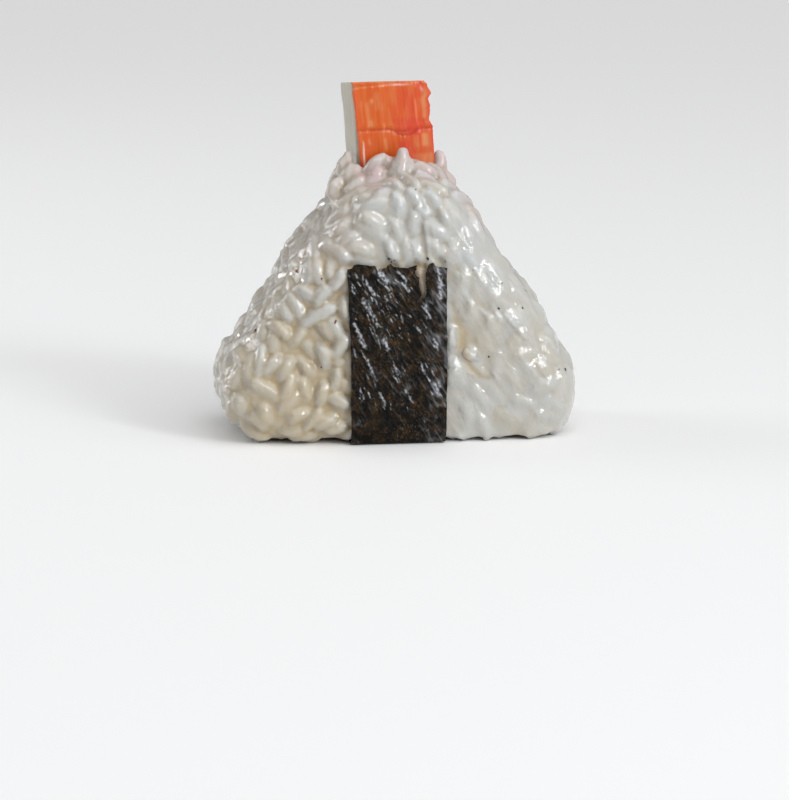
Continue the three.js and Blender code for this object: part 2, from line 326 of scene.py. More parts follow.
def outline(offset, arcSteps=14, sideSteps=12):
    # round the three corners and along the straight sides between them
    corners = ball["corners"]
    facing = []
    for (ax, az, ar), (bx, bz, br) in zip(corners, corners[1:] + corners[:1]):
        facing.append(math.atan2(bz - az, bx - ax) - math.acos((ar - br) / math.hypot(bx - ax, bz - az)))
    arcs = []
    for i, (x, z, r) in enumerate(corners):
        first, last = facing[i - 1], facing[i]
        while last < first:
            last += 2 * math.pi
        while last - first > 2 * math.pi:
            last -= 2 * math.pi
        angles = np.linspace(first, last, arcSteps + 1)
        arcs.append(np.stack([x + (r + offset) * np.cos(angles), z + (r + offset) * np.sin(angles)], 1))
    points = []
    for i, arc in enumerate(arcs):
        points.extend(arc)
        following = arcs[(i + 1) % 3][0]
        points.extend(arc[-1] + (following - arc[-1]) * k / sideSteps for k in range(1, sideSteps))
    return np.array(points)


def bulge(z, table):
    return sum(out * bell(z, middle, half) for middle, half, out in table)


def settle(points):
    # the faces swell, the foot is thicker, and the loose side has sunk in
    x, y, z = points.T
    up, across = 2 * z / ball["height"] - 1, x / ball["halfWidth"]
    hollowX, hollowZ, radius, share = ball["hollow"]
    dip = np.where(y < 0, share * around(x, z, hollowX, hollowZ, radius), 0)
    swell = ball["dome"] * (1 - across ** 2 - up ** 2) - ball["taper"] * up
    fall = rise(np.abs(y), 4, 6) * rise(z, 56, 9) * ball["shoulder"]
    slopes = np.where(x > 0, 1, -1) * rise(np.abs(x) - 9, (52 - z) * 0.3, 8)  # not over the top
    bulges = np.where(x > 0, bulge(z, ball["right"]), bulge(z, ball["left"]))
    return np.stack([x + slopes * bulges, y * (1 + swell - dip), z - fall], 1)


def ballForm(inset):
    # rings from the back face to the front face, closed by a fan at each end and cut flat at the foot
    edge = ball["edge"] - inset
    flat = ball["thickness"] / 2 - ball["edge"]
    face = outline(-ball["edge"])
    middle = face.mean(0)
    front = [(middle + (face - middle) * s, -flat - edge) for s in (0.15, 0.3, 0.45, 0.6, 0.75, 0.88)]
    for angle in np.linspace(0, math.pi / 2, 7):
        front.append((outline(edge * math.sin(angle) - ball["edge"]), -flat - edge * math.cos(angle)))
    back = [(ring, -y) for ring, y in front]
    across = [(front[-1][0], y) for y in (flat * 0.5, 0, -flat * 0.5)]
    rings = back + across + front[::-1]
    points = [(x, y, max(z, inset)) for ring, y in rings for x, z in ring]
    points += [(middle[0], y, middle[1]) for y in (flat + edge, -flat - edge)]
    return settle(np.array(points)), closedFaces(len(rings), len(face), len(points) - 2, len(points) - 1)


class Surface:
    # a form that grains are scattered on
    def __init__(self, inset):
        points, faces = ballForm(inset)
        triangles = []
        for f in faces:
            triangles.append(f[:3])
            if len(f) == 4:
                triangles.append((f[0], f[2], f[3]))
        self.points, self.triangles = points, np.array(triangles)
        a, b, c = (points[self.triangles[:, k]] for k in range(3))
        normals = np.cross(b - a, c - a)
        area = np.linalg.norm(normals, axis=1)
        smooth = np.zeros_like(points)
        for k in range(3):
            np.add.at(smooth, self.triangles[:, k], normals)
        self.normals = smooth / np.maximum(np.linalg.norm(smooth, axis=1, keepdims=True), 1e-9)
        self.share = np.cumsum(area) / area.sum()

    def spot(self, rng):
        t = self.triangles[min(np.searchsorted(self.share, rng.random()), len(self.triangles) - 1)]
        u, v = rng.random(2)
        if u + v > 1:
            u, v = 1 - u, 1 - v
        weights = np.array([1 - u - v, u, v])
        normal = weights @ self.normals[t]
        return weights @ self.points[t], normal / np.linalg.norm(normal)


# nori and crab stick, where the rice has to keep clear of them

nori = {
    "left": -13.2,
    "right": 9.5,
    "thickness": 0.3,
    "off": 0.55,        # its outer face, out from the rice
    "foot": 0.35,
    "top": 41.5,
    "cornerZ": 4.8,
    "columns": 132,
    "rows": 500,
    "bumps": 0.34,      # where it follows the grains underneath
    "creases": 0.42,    # slanting, sharp ones
    "crinkle": 0.06,
    "broad": 1.3,       # long strokes
    "fine": 110,        # how many short strokes
    "paintedSheen": 0.24,      # how much painted sheen the right side of the front gets
    "stray": 0.25,      # how far its side edges wander
    "ragged": (0.14, 0.5),  # how uneven its ends are, in front and behind
    "shaky": 0.25,      # how far its strokes are from straight
    "drawnIn": 0.7,     # how far its left edge moves in lower down
    "curl": 0.7,        # of the flap beside the tear
}

# the torn upper edge in front, x and z
noriEdge = (
    (-13, 40.9), (-12.2, 41.1), (-11.7, 42.0), (-9.7, 41.9), (-8.2, 41.6), (-6.9, 41.6), (-6.5, 40.7),
    (-5.5, 41.0), (-4.4, 40.9), (-4.2, 41.6), (-3.4, 42.0), (-2.5, 41.2), (-1.5, 41.1), (0.5, 40.9),
    (1.8, 41.3), (2.6, 41.5), (4.9, 41.1), (5.2, 41.6), (6.4, 42.1), (6.8, 41.3), (8.1, 41.0), (9.3, 40.8),
    (10, 40.8),
)

# the tear, x and z round its rim
noriTear = (
    (2.3, 44.0), (2.5, 41.3), (2.0, 39.7), (3.1, 38.6), (2.9, 37.0), (3.5, 35.6), (3.5, 34.8), (2.4, 33.4),
    (2.6, 33.1), (4.4, 34.2), (4.7, 35.3), (4.5, 37.4), (4.4, 39.8), (5.0, 41.2), (5.3, 44.0),
)

stick = {
    "width": 17.8,
    "depth": 8.8,
    "corner": 0.6,
    "top": 81.9,
    "backDrop": 0.7,    # how much lower the cut end is at the back
    "bottom": 50.0,
    "lean": -0.088,
    "turn": 0.17,
    "pivot": (0.1, 52.0),
    "layers": 0.16,     # how uneven its sides and back are, finely and over all
    "uneven": 0.2,
    "levels": 130,
}

skin = {
    "thickness": 0.9,
    "gap": 0.08,        # between it and the flesh
    "corner": 0.35,
    "proud": 0.3,       # how much further out its face is
    "aside": 0.2,       # how far it sits to the right
    "crease": 71.3,     # height of the upper fold
    "ribs": (0.16, 0.07, 0.2),    # broad, fine and slow ones along it
    "folds": (0.1, 0.08, 0.06),   # depth of the upper and the lower fold, and the swelling over them
    "lip": 0.1,         # dent under the cut end
    "ridge": 0.22,      # sharp fold near its left edge
    "ragged": (0.12, 0.14),       # how uneven the right and the left edge are
}


def stickPlaced(points):
    # from the stick's own frame, upright on its pivot, to where it stands
    x, y, z = np.asarray(points, float).T
    c, s = math.cos(stick["turn"]), math.sin(stick["turn"])
    px, pz = stick["pivot"]
    turnedX = x * c - y * s
    return np.stack([turnedX + stick["lean"] * (z - pz) + px, x * s + y * c, z], 1)


def outsideStick(points):
    # how far outside the stick each point is
    x, y, z = np.atleast_2d(points).T
    px, pz = stick["pivot"]
    x = x - px - stick["lean"] * (z - pz)
    c, s = math.cos(stick["turn"]), math.sin(stick["turn"])
    u, v = x * c + y * s, -x * s + y * c
    back = stick["depth"] / 2
    front = -back - skin["thickness"] - skin["proud"]
    dx = np.abs(u) - stick["width"] / 2
    dy = np.abs(v - (front + back) / 2) - (back - front) / 2
    return np.maximum(np.maximum(dx, dy), stick["bottom"] - z)


# rice

grains = {
    "length": 6.9,
    "width": 3.25,
    "height": 2.8,
    "pressedLength": 7.6,
    "pressedHeight": 2.3,
    "spread": (0.6, 0.2, 0.15),          # how much length, width and height vary
    "outer": (1.35, 1150, 40000, 0.68),  # how deep the layer lies, most grains, tries and spacing
    "under": (2.7, 650, 16000, 0.6),
    "sunk": 0.75,                        # how much deeper they lie under the nori
    "fromFoot": 1.0,                     # how far their spines keep from the foot and the stick
    "fromStick": 1.3,
    "reach": 9,                          # no grain further away than this can touch
    "segments": 10,
    "rings": 9,
    "seed": 11,
}


def grainShape(rng, length, width, height):
    # a plump grain along x: blunt ends, one a little finer, with a dent where the germ was
    t = np.linspace(0, math.pi, grains["rings"] + 1)[1:-1]
    phi = np.linspace(0, 2 * math.pi, grains["segments"], endpoint=False)
    along, turn = np.meshgrid(t, phi, indexing="ij")
    anyTurn = (0, 6.3)
    body = np.sin(along) ** rng.uniform(0.55, 0.8)
    x = -np.cos(along) * 0.5
    taper = 1 - rng.uniform(0.05, 0.3) * x
    lump = 1 + 0.05 * np.sin(2 * turn + rng.uniform(*anyTurn) + 4 * x)
    ripple = 0.035 * np.sin(3 * turn + rng.uniform(*anyTurn) - 5 * x)
    lump += ripple + 0.05 * np.sin(rng.uniform(5, 9) * x + rng.uniform(*anyTurn))
    dent = 1 - 0.2 * patch(x, np.cos(turn - rng.uniform(*anyTurn)), 0.36, 1, 0.11, 0.7)
    radius = 0.5 * body * taper * lump * dent
    points = at(x.ravel(), (radius * np.cos(turn)).ravel(), (radius * np.sin(turn)).ravel())
    points = np.vstack([points, [[-0.5, 0, 0], [0.5, 0, 0]]]) * (length, width, height)
    curve = 4 * (points[:, 0] / length) ** 2 - 0.6
    points[:, 1] += rng.normal(0, 0.3) * curve
    points[:, 2] += rng.normal(-0.15, 0.2) * curve
    return points


def grainFaces():
    rows, columns = grains["rings"] - 1, grains["segments"]
    return closedFaces(rows, columns, rows * columns, rows * columns + 1)


def spine(centre, along, length):
    return centre + along * (length * np.array([-0.3, -0.1, 0.1, 0.3]))[:, None]


def pressedShare(points, atRim=0.62):
    # 0 where the rice is loose, 1 where the hand has smeared it flat
    x, y, z = np.atleast_2d(points).T
    side = rise(x, 3.5, 9) * fade(z, 61, 9) * np.where(y < 6, 1, 0.55)
    rim = atRim * fade(np.abs(y), 17.5, 3) * fade(z, 60, 6)
    return np.maximum(side, rim)


def smearedShare(points):
    # where the surface is smooth: also a little at the top and the lower left, and under each drawn smear
    x, y, z = points.T
    flat = pressedShare(points, 0.36) * (1 - 0.5 * rise(z, 50, 8))
    top = 0.65 * bell(x, -1, 13) * rise(z, 41, 4) * fade(z, 58, 4)
    corner = 0.5 * around(x, z, -27, 9, 11)
    under = strokes(x, z, widened(smears, 1.8, high=0.95))
    return np.maximum(flat, onFront(y) * np.maximum(np.maximum(top, corner), under))


def underNori(p, sides=1.2, top=0.8):
    x, y, z = p
    return nori["left"] - sides < x < nori["right"] + sides and z < nori["top"] + top and abs(y) > 8


def deepUnderNori(p):
    x, y, z = p
    inTear = 1.0 < x < 7.0 and z > 33 and y < 0
    return underNori(p, -2, -3) and not inTear


# the grains that stand out on the front: both ends (x, z, x, z), width, how far they stand out, and tone
frontGrains = (
    (-7.6, 59.9, -3.6, 61.5, 3, 0, 0.6),
    (-14.6, 59.8, -8.4, 60.1, 2.9, 0, 0.45),
    (-11.8, 54.2, -4.6, 56.7, 3.3, 0.35, 0.7),
    (-2.2, 58.1, -0.7, 52.7, 3.1, 0.25, 0.7),
    (-11.5, 51.4, -4.5, 47.5, 3.8, 0.2, 0.62),
    (-3, 51.8, -0.7, 47, 3.2, 0.05, 0.55),
    (-3.8, 47, -1.9, 42.4, 3, 0.25, 0.7),
    (0.2, 46.7, 1.1, 41.4, 3, 0.1, 0.6),
    (2.3, 47.1, 4, 41.6, 2.8, 0.1, 0.6),
    (-13.4, 46, -6.9, 43.8, 3.6, 0.05, 0.5),
    (-15.1, 46.8, -11.1, 49.1, 3.2, 0.1, 0.65),
    (2.7, 53.1, 2.1, 49.4, 2.8, 0.15, 0.7),
    (-15.9, 45.9, -13.6, 43.3, 3.3, 0.25, 0.9),
    (-24.1, 43.7, -23, 38.7, 4, 0.45, 0.95),
    (-21.3, 42.5, -20.2, 38.6, 3.2, 0.2, 0.8),
    (-13.6, 40.3, -16.8, 36.5, 3.6, 0.5, 0.9),
    (-17.3, 36.5, -20.5, 33.3, 3.4, 0.45, 0.9),
    (-27.1, 37.6, -19.8, 34, 3.4, 0.35, 0.9),
    (-16.2, 32.1, -23.6, 28.2, 3.6, 0.35, 0.9),
    (-13.2, 25.8, -16.2, 20.3, 3.5, 0.3, 0.85),
    (-19.5, 23.3, -18, 18.2, 3.3, 0.45, 0.95),
    (-33.5, 24.4, -33.8, 16.4, 2.6, 0.3, 1),
    (-36.9, 23.1, -37, 15.8, 3.2, 0.1, 0.6),
    (-29.2, 20.7, -31.7, 17.4, 2.7, 0.25, 0.85),
    (-25.5, 20.4, -28.8, 15.5, 3, 0.2, 0.7),
    (-23.5, 14.9, -22.4, 11.7, 2.8, 0, 0.6),
    (-18.3, 14.4, -19.7, 9.8, 2.9, 0.2, 0.75),
    (-24.5, 12.2, -28.9, 7.9, 3.4, 0.1, 0.55),
    (-16.5, 11.1, -13.3, 9.5, 3.3, 0.3, 0.85),
    (-20.7, 4.7, -15.9, 6.3, 3, 0.1, 0.7),
    (-17.7, 3, -13.8, 4.1, 2.7, 0, 0.65),
    (-40.3, 11.7, -39.6, 5.9, 3.9, 0.2, 0.6),
    (-35.2, 15.5, -28.9, 11.2, 3.3, 0.15, 0.6),
    (-15.5, 17.3, -16.3, 13, 2.8, 0, 0.6),
    (-30.2, 34.2, -27.8, 31.1, 3.1, 0.2, 0.85),
    (-16.4, 28.6, -14.6, 25.2, 3, 0.2, 0.85),
    (-13.9, 33.7, -13.2, 29.5, 2.8, 0.1, 0.6),
    (10.9, 27, 11.1, 21.4, 3.2, 0.1, 0.9),
    (10.2, 19.8, 13, 13.7, 3.8, 0.15, 0.85),
    (13.5, 21.4, 17.2, 18.7, 3.2, 0.1, 0.75),
    (10.5, 18.6, 10.7, 13.2, 2.7, 0.2, 0.7),
    (-23.2, 26.8, -25.9, 23.4, 2.9, -0.35, 0.4),
    (-31.2, 27.1, -30.3, 21.9, 2.9, -0.25, 0.5),
    (-21.7, 17.1, -23.9, 19.9, 2.7, -0.1, 0.5),
    (-38, 31.4, -36, 28.1, 3, 0.1, 0.6),
    (-34.5, 36.4, -32.5, 33.3, 3, 0.1, 0.6),
    (-1.1, 42.1, -0.2, 39.8, 2.4, -0.6, 0.3),
    (3.7, 40.2, 4.2, 34.3, 2.9, 0.0, 0.2),
    (6.4, 58.8, 8.2, 56.2, 3, 0.1, 0.6),
    (1.1, 58.4, 3.4, 55.2, 3, 0.15, 0.65),
    (-18.8, 51.5, -16, 53.7, 3, 0.05, 0.5),
    (-20.2, 48.4, -17.2, 46.1, 3.2, 0.1, 0.65),
    (-12.5, 40.5, -13.7, 36, 2.6, -0.3, 0.5),
    (-32.8, 9.9, -31, 5.2, 3.5, 0, 0.5),
    (-35.5, 6.9, -32.8, 3.6, 3.2, 0, 0.5),
    (-26.4, 6.7, -22.7, 8, 3, 0, 0.5),
    (-28, 2.3, -24.1, 3.4, 2.8, 0, 0.5),
)

# the grains that lean on the crab stick: both ends (x, y, z), width and tone
leaningGrains = (
    ((-8.4, -9.0, 60.4), (-2.9, -8.9, 65.9), 3.3, 0.55),
    ((-7.2, -9.9, 58.8), (-2.6, -9.4, 62.0), 3.0, 0.45),
    ((-2.3, -8.8, 61.8), (-2.0, -8.3, 65.4), 1.9, 0.5),
    ((-0.5, -11.4, 58.2), (1.2, -8.8, 67.1), 4.6, 0.7),
    ((-10.6, -8.8, 58.4), (-9.3, -7.7, 63.4), 3.0, 0.5),
    ((-8.8, -10.6, 58.2), (-3.6, -10.3, 62.2), 3.3, 0.55),
    ((-1.6, -11.0, 58.4), (0.1, -9.3, 65.4), 3.1, 0.7),
    ((2.9, -11.0, 58.4), (1.4, -9.3, 65.6), 2.9, 0.7),
    ((8.8, -8.6, 60.2), (3.9, -8.7, 63.8), 3.3, 0.5),
    ((6.2, -10.0, 58.2), (4.6, -9.6, 62.4), 3.0, 0.65),
    ((10.6, -3.8, 58.6), (10.2, -3.2, 65.9), 3.5, 0.6),
    ((13.6, -5.2, 57.4), (10.9, -4.6, 61.2), 3.0, 0.5),
    ((-11.6, -5.6, 60.6), (-10.9, -4.6, 66.3), 3.0, 0.5),
    ((-13.4, -6.4, 59.6), (-12.3, -5.2, 64.8), 2.9, 0.5),
    ((-12.4, -8.6, 58.8), (-10.3, -7.4, 63.6), 3.0, 0.55),
    ((-15.4, -6.0, 57.4), (-13.5, -5.0, 62.2), 2.9, 0.5),
    ((-16.4, -9.4, 56.2), (-13.2, -8.6, 60.4), 3.1, 0.5),
    ((-12.6, -11.0, 57.2), (-8.4, -10.4, 60.6), 3.2, 0.5),
    ((-15.2, -10.2, 53.4), (-11.4, -9.4, 58.2), 3.6, 0.5),
    ((-14.6, -6.8, 54.4), (-11.2, -6.2, 59.4), 3.6, 0.5),
    ((-14.8, -2.0, 56.4), (-11.6, -1.6, 61.4), 3.4, 0.5),
    ((-7.6, 6.6, 61.0), (-3.4, 7.0, 65.2), 3.0, 0.6),
    ((1.8, 7.6, 60.0), (2.6, 7.4, 65.6), 3.2, 0.6),
    ((8.6, 6.4, 60.2), (5.2, 7.2, 64.0), 2.9, 0.5),
)

# ridges of smeared starch on the right, also painted as highlights: both ends (x, z, x, z), half width and height
smears = (
    (20.2, 32.0, 22.5, 27.8, 0.6, 0.4), (23.4, 29.7, 28.4, 24.2, 0.7, 0.45),
    (16.2, 40.6, 18.5, 36.5, 0.6, 0.4), (4.9, 50.9, 5.8, 42.7, 0.55, 0.4), (7.5, 46.5, 7.4, 43.3, 0.5, 0.3),
    (13.4, 35.7, 15.5, 31.9, 0.5, 0.35), (8.2, 53.3, 10.2, 51.7, 0.5, 0.3),
    (14.1, 42.7, 16.7, 41.5, 0.5, 0.3), (17.1, 31.7, 19.7, 28.8, 0.5, 0.3),
    (21.3, 34.1, 24.8, 31.5, 0.35, 0.3), (19.2, 27.0, 22.1, 23.2, 0.3, 0.3),
    (24.6, 37.2, 26.0, 34.7, 0.5, 0.35), (3.6, 55.1, 5.5, 52.9, 1.2, 0.4), (1.9, 46.6, 2.8, 43.4, 0.5, 0.3),
    (14.6, 16.9, 16.5, 15.9, 0.6, 0.35), (18.8, 22.6, 20.0, 21.2, 0.35, 0.25),
    (31.0, 18.3, 32.0, 16.9, 0.5, 0.25), (10.0, 40.5, 12.3, 39.1, 0.5, 0.3),
    (28.5, 33.0, 31.0, 29.0, 0.5, 0.25), (26.5, 20.5, 30.5, 15.5, 0.6, 0.25),
    (20.5, 16.5, 24.0, 11.5, 0.6, 0.25), (12.0, 49.5, 14.5, 45.5, 0.5, 0.3),
    (33.5, 24.0, 36.0, 20.0, 0.5, 0.25), (24.0, 8.5, 27.0, 4.5, 0.6, 0.2),
)

# where the smeared rice has parted from the grains beside the nori, laid out the same way
clefts = (
    (11.1, 32.7, 11.9, 28.6, 0.7, 0.5), (11.9, 28.6, 13.6, 25.4, 1.1, 0.75),
    (13.6, 25.4, 13.2, 22.4, 1.6, 0.85), (13.2, 22.4, 14.2, 19.4, 0.8, 0.8),
    (14.2, 19.4, 15.6, 17.0, 0.7, 0.8), (15.6, 17.0, 17.4, 15.5, 0.6, 0.7),
    (17.4, 15.5, 19.3, 14.9, 0.6, 0.6), (13.8, 24.2, 15.8, 23.6, 0.8, 0.5),
    (16.4, 33.0, 17.8, 31.6, 0.8, 0.35),
)


def hairs(rng, count):
    # finer ridges, scattered
    found = []
    for _ in range(count):
        x, z = rng.uniform(7, 34), rng.uniform(5, 52)
        slant, length = math.radians(rng.normal(57, 8)), rng.uniform(1.2, 4)
        found.append(shortStroke(rng, x, z, slant, length, (0.26, 0.38), (0.25, 0.42)))
    return tuple(found)


strayHairs = hairs(np.random.default_rng(6), 26)


def ballTree():
    points, faces = ballForm(0)
    return BVHTree.FromPolygons(points.tolist(), faces)


def grainBetween(first, second, normal, width, height, tone):
    length = np.linalg.norm(second - first)
    return {"centre": (first + second) / 2, "along": (second - first) / length, "normal": normal,
            "length": length, "width": width, "height": height, "pressed": 0.0, "tone": tone}


def grainsLaidByHand():
    tree = ballTree()
    sunk, topSunk, longer, shortest = 1.3, 0.3, 1.06, 5.4
    found = []
    for x1, z1, x2, z2, width, out, tone in frontGrains:
        first, second = (np.array(tree.find_nearest((x, -18.5, z))[0]) for x, z in ((x1, z1), (x2, z2)))
        normal = np.array(tree.find_nearest((first + second) / 2)[1])
        normal *= -np.sign(normal[1])
        grain = grainBetween(first, second, normal, width, grains["height"], tone)
        out -= topSunk * (z1 > 41)  # the top of the ball is pressed tighter
        grain["centre"] = grain["centre"] + normal * (out - sunk)
        grain["length"] = max(grain["length"] * longer, shortest)
        found.append(grain)
    for first, second, width, tone in leaningGrains:
        normal = np.array((0, -1.0 if first[1] < 5 else 1.0, 0))
        found.append(grainBetween(np.array(first), np.array(second), normal, width, width * 0.85, tone))
    return found


def scatter(layer, rng, laid):
    # every grain is laid where its spine keeps clear of all the others
    depth, count, tries, spacing = layer
    lengthSpread, widthSpread, heightSpread = grains["spread"]
    surface = Surface(depth)
    centres = [g["centre"] for g in laid]
    spines = [spine(g["centre"], g["along"], g["length"]) for g in laid]
    found = []
    for _ in range(tries):
        if len(found) >= count:
            break
        centre, normal = surface.spot(rng)
        pressed = float(pressedShare(centre)[0])
        loose = 1 - pressed
        length = rng.normal(grains["length"] * loose + grains["pressedLength"] * pressed, lengthSpread)
        width = rng.normal(grains["width"], widthSpread)
        height = rng.normal(grains["height"] * loose + grains["pressedHeight"] * pressed, heightSpread)
        # they follow a slow swirl, and the smeared ones run down to the right
        swirl = np.array([noise.noise(Vector(centre) / 13 + Vector((5.1 * k, 2.7, 9.3 * k))) for k in range(3)])
        heading = rng.normal(0, 1, 3) * (1, 1, 1.35) * 0.5 + swirl * 4.5
        if pressed > 0.3:
            heading = heading * 0.42 + np.array((0.52, 0, -0.85)) * pressed
        along = heading - normal * (heading @ normal)
        along /= np.linalg.norm(along)
        tilt = rng.normal(0, 0.17 * loose + 0.04)
        along = along * math.cos(tilt) + normal * math.sin(tilt)
        centre = centre + normal * rng.normal(0, 0.25 * loose + 0.06)
        if underNori(centre):
            centre = centre - normal * grains["sunk"]
        row = spine(centre, along, length)
        tooNear = row[:, 2].min() < grains["fromFoot"] or outsideStick(row).min() < grains["fromStick"]
        if deepUnderNori(centre) or tooNear:
            continue
        if centres:
            close = ((np.array(centres) - centre) ** 2).sum(1) < grains["reach"] ** 2
            others = np.array(spines)[close].reshape(-1, 3)
            if len(others) and ((others[None] - row[:, None]) ** 2).sum(2).min() < (spacing * width) ** 2:
                continue
        centres.append(centre)
        spines.append(row)
        found.append({"centre": centre, "along": along, "normal": normal, "length": length,
                      "width": width, "height": height, "pressed": pressed})
    return found


def shapeGrains(found, rng):
    for g in found:
        shape = grainShape(rng, g["length"], g["width"], g["height"])
        side = np.cross(g["normal"], g["along"])
        side /= np.linalg.norm(side)
        up = np.cross(g["along"], side)
        roll = rng.normal(0, 0.3)
        side, up = side * math.cos(roll) + up * math.sin(roll), up * math.cos(roll) - side * math.sin(roll)
        g["points"] = shape @ np.stack([g["along"], side, up]) + g["centre"]
        g["points"][:, 2] = np.maximum(g["points"][:, 2], 0.03)
        g.setdefault("tone", float(np.clip(rng.normal(0.5, 0.22), 0, 1)))


def joined(found, grow=1.0):
    points = [g["centre"] + (g["points"] - g["centre"]) * grow for g in found]
    count = len(points[0])
    faces = [tuple(k * count + i for i in f) for k in range(len(points)) for f in grainFaces()]
    return np.vstack(points), faces, np.repeat([g["tone"] for g in found], count)


def neighbours(mesh):
    edges = np.empty(len(mesh.edges) * 2, np.int32)
    mesh.edges.foreach_get("vertices", edges)
    edges = edges.reshape(-1, 2)
    return edges[:, 0], edges[:, 1], np.bincount(edges.ravel(), minlength=len(mesh.vertices)).clip(1)


def smoothed(points, links, times, share):
    a, b, count = links
    for _ in range(times):
        total = np.zeros_like(points)
        for k in range(3):
            total[:, k] = np.bincount(a, points[b, k], len(points)) + np.bincount(b, points[a, k], len(points))
        points = points + (total / count[:, None] - points) * share
    return points


def threes(rows, key):
    # three numbers from every row of a mesh
    values = np.empty(len(rows) * 3, np.float32)
    rows.foreach_get(key, values)
    return values.reshape(-1, 3).astype(float)


def coordinates(mesh):
    return threes(mesh.vertices, "co") / mm


def directions(mesh):
    return threes(mesh.vertex_normals, "vector")


def hollowness(mesh, links, times):
    # how far a point lies in a gap, in millimetres
    points = coordinates(mesh)
    return ((smoothed(points, links, times, 0.6) - points) * directions(mesh)).sum(1)


def seams(points, owners):
    # the grain that each point belongs to, how far the point is from the seam with the next one,
    # and from the corner where three of them meet
    far = 4.5
    own, apart, corner = [], [], []
    for p in points.tolist():
        near = owners.find_n(p, 12)
        nearest = {}
        for _, i, distance in near:
            nearest.setdefault(i, distance)
        first, second, third = (list(nearest.values()) + [far, far])[:3]
        own.append(near[0][1])
        apart.append(second - first)
        corner.append(third - first)
    return np.array(own), np.array(apart), np.array(corner)


mass = {
    "voxel": 0.515,
    "grow": 1.05,        # of the grains before they fuse
    "coreLoose": 1.28,   # how far in the sticky starch lies between loose grains
    "corePressed": 0.95,
    "smoothLoose": 2,
    "smoothPressed": 11,
    "streak": 0.13,      # relief of the smeared film: streaks, finer ones, drawn ridges and clefts
    "fineStreak": 0.09,
    "ridge": 2.0,
    "cleft": 0.4,
    "wetLump": 0.065,    # at the wet left edge
    "seam": 0.1,         # how deep the seams between loose grains are
    "foot": 0.2,         # how flat it stands
    "gap": (0.7, 2.4),   # how deep a gap begins to get its brown painted shade, and where that shade is brownest
    "crisp": 0.55,       # share of the loose grains that still show their own edge
}


def keepLargest(piece):
    mesh = piece.data
    a, b, _ = neighbours(mesh)
    label = np.arange(len(mesh.vertices))
    while True:
        lowest = label.copy()
        np.minimum.at(lowest, a, label[b])
        np.minimum.at(lowest, b, label[a])
        lowest = lowest[lowest]
        if (lowest == label).all():
            break
        label = lowest
    names, counts = np.unique(label, return_counts=True)
    stray = label != names[counts.argmax()]
    print("loose shells inside:", len(names) - 1)
    work = bmesh.new()
    work.from_mesh(mesh)
    work.verts.ensure_lookup_table()
    bmesh.ops.delete(work, geom=[work.verts[i] for i in np.flatnonzero(stray)], context="VERTS")
    work.to_mesh(mesh)
    work.free()


def fused(found, material):
    # grains and core grown together into one skin
    grainPoints, faces, _ = joined(found, mass["grow"])
    corePoints, coreFaces = ballForm(mass["coreLoose"])
    outerPoints, _ = ballForm(mass["corePressed"])
    flat = pressedShare(corePoints)[:, None]
    corePoints = corePoints * (1 - flat) + outerPoints * flat
    start = len(grainPoints)
    faces = faces + [tuple(start + i for i in f) for f in coreFaces]
    piece = addPiece("riceMass", np.vstack([grainPoints, corePoints]), faces, material, ("rice_ball",))
    remesh = piece.modifiers.new("fuse", "REMESH")
    remesh.mode = "VOXEL"
    remesh.voxel_size = mass["voxel"] * mm
    remesh.use_smooth_shade = True
    applyModifiers(piece)
    keepLargest(piece)
    return piece


def riceMass(found, material, owners):
    piece = fused(found, material)
    mesh = piece.data
    links = neighbours(mesh)
    points = coordinates(mesh)
    flat = smearedShare(points)[:, None]
    foot = points[:, 2] < 0.35
    loose = smoothed(points, links, mass["smoothLoose"], 0.5)
    points = loose * (1 - flat) + smoothed(loose, links, mass["smoothPressed"], 0.55) * flat
    own, apart, corner = seams(points, owners)
    x, y, z = points.T
    across, along = slanted(x, z)
    slope = at(across / 1.5, y / 3, along / 6.5)
    film = rise(x, 5, 6) * (mass["streak"] * wave(slope, 1, 5) + mass["fineStreak"] * wave(slope, 0.4, 6))
    ridges, parted = facets(x, z, smears + strayHairs), strokes(x, z, clefts)
    film += onFront(y) * (mass["ridge"] * ridges - mass["cleft"] * parted)
    film += mass["wetLump"] * rise(-directions(mesh)[:, 0], 0.2, 0.3) * wave(points, 1.0, 7)
    film -= mass["seam"] * bell(apart, 0, 0.5) * (1 - flat[:, 0])
    points += directions(mesh) * film[:, None]
    points[foot, 2] = np.minimum(points[foot, 2], mass["foot"])
    points[:, 2] = np.maximum(points[:, 2], 0.02)
    mesh.vertices.foreach_set("co", (points * mm).astype(np.float32).ravel())
    mesh.update()
    return piece, own, (apart, corner), links


# where the stick has stained the front: x, z, half width, half height and strength
stains = ((-6, 61.5, 3.4, 2.6, 0.75), (6.5, 61.8, 2.6, 1.8, 0.6), (0.6, 65, 3.2, 2.6, 0.4))


def blush(points):
    # the stick has stained the rice beside it, most in front and down the right shoulder
    x, y, z = np.atleast_2d(points).T
    before = 0.4 + 0.6 * rise(-y, 5, 3) * fade(np.abs(x), 10.5, 3)
    near = np.exp(-np.maximum(outsideStick(points), 0) / 2.4) * (z > 55) * before
    spots = sum(high * patch(x, z, *place) for *place, high in stains) * (y < 0)
    shoulder = bell(x - 14, (60 - z) * 0.55, 3.0) * rise(z, 44, 14) * 0.5
    band = 0.16 * rise(-x, 8, 6) * rise(z, 35, 15)
    return np.clip(near + spots + shoulder + band, 0, 1)


def depths(points):
    # how far in from the smooth form of the ball
    tree = ballTree()
    found = [tree.find_nearest(p) for p in points.tolist()]
    nearest, facing = np.array([f[0] for f in found]), np.array([f[1] for f in found])
    middle = np.array((0, 0, 28.0))
    facing *= np.sign(((nearest - middle) * facing).sum(1))[:, None]
    return ((nearest - points) * facing).sum(1)
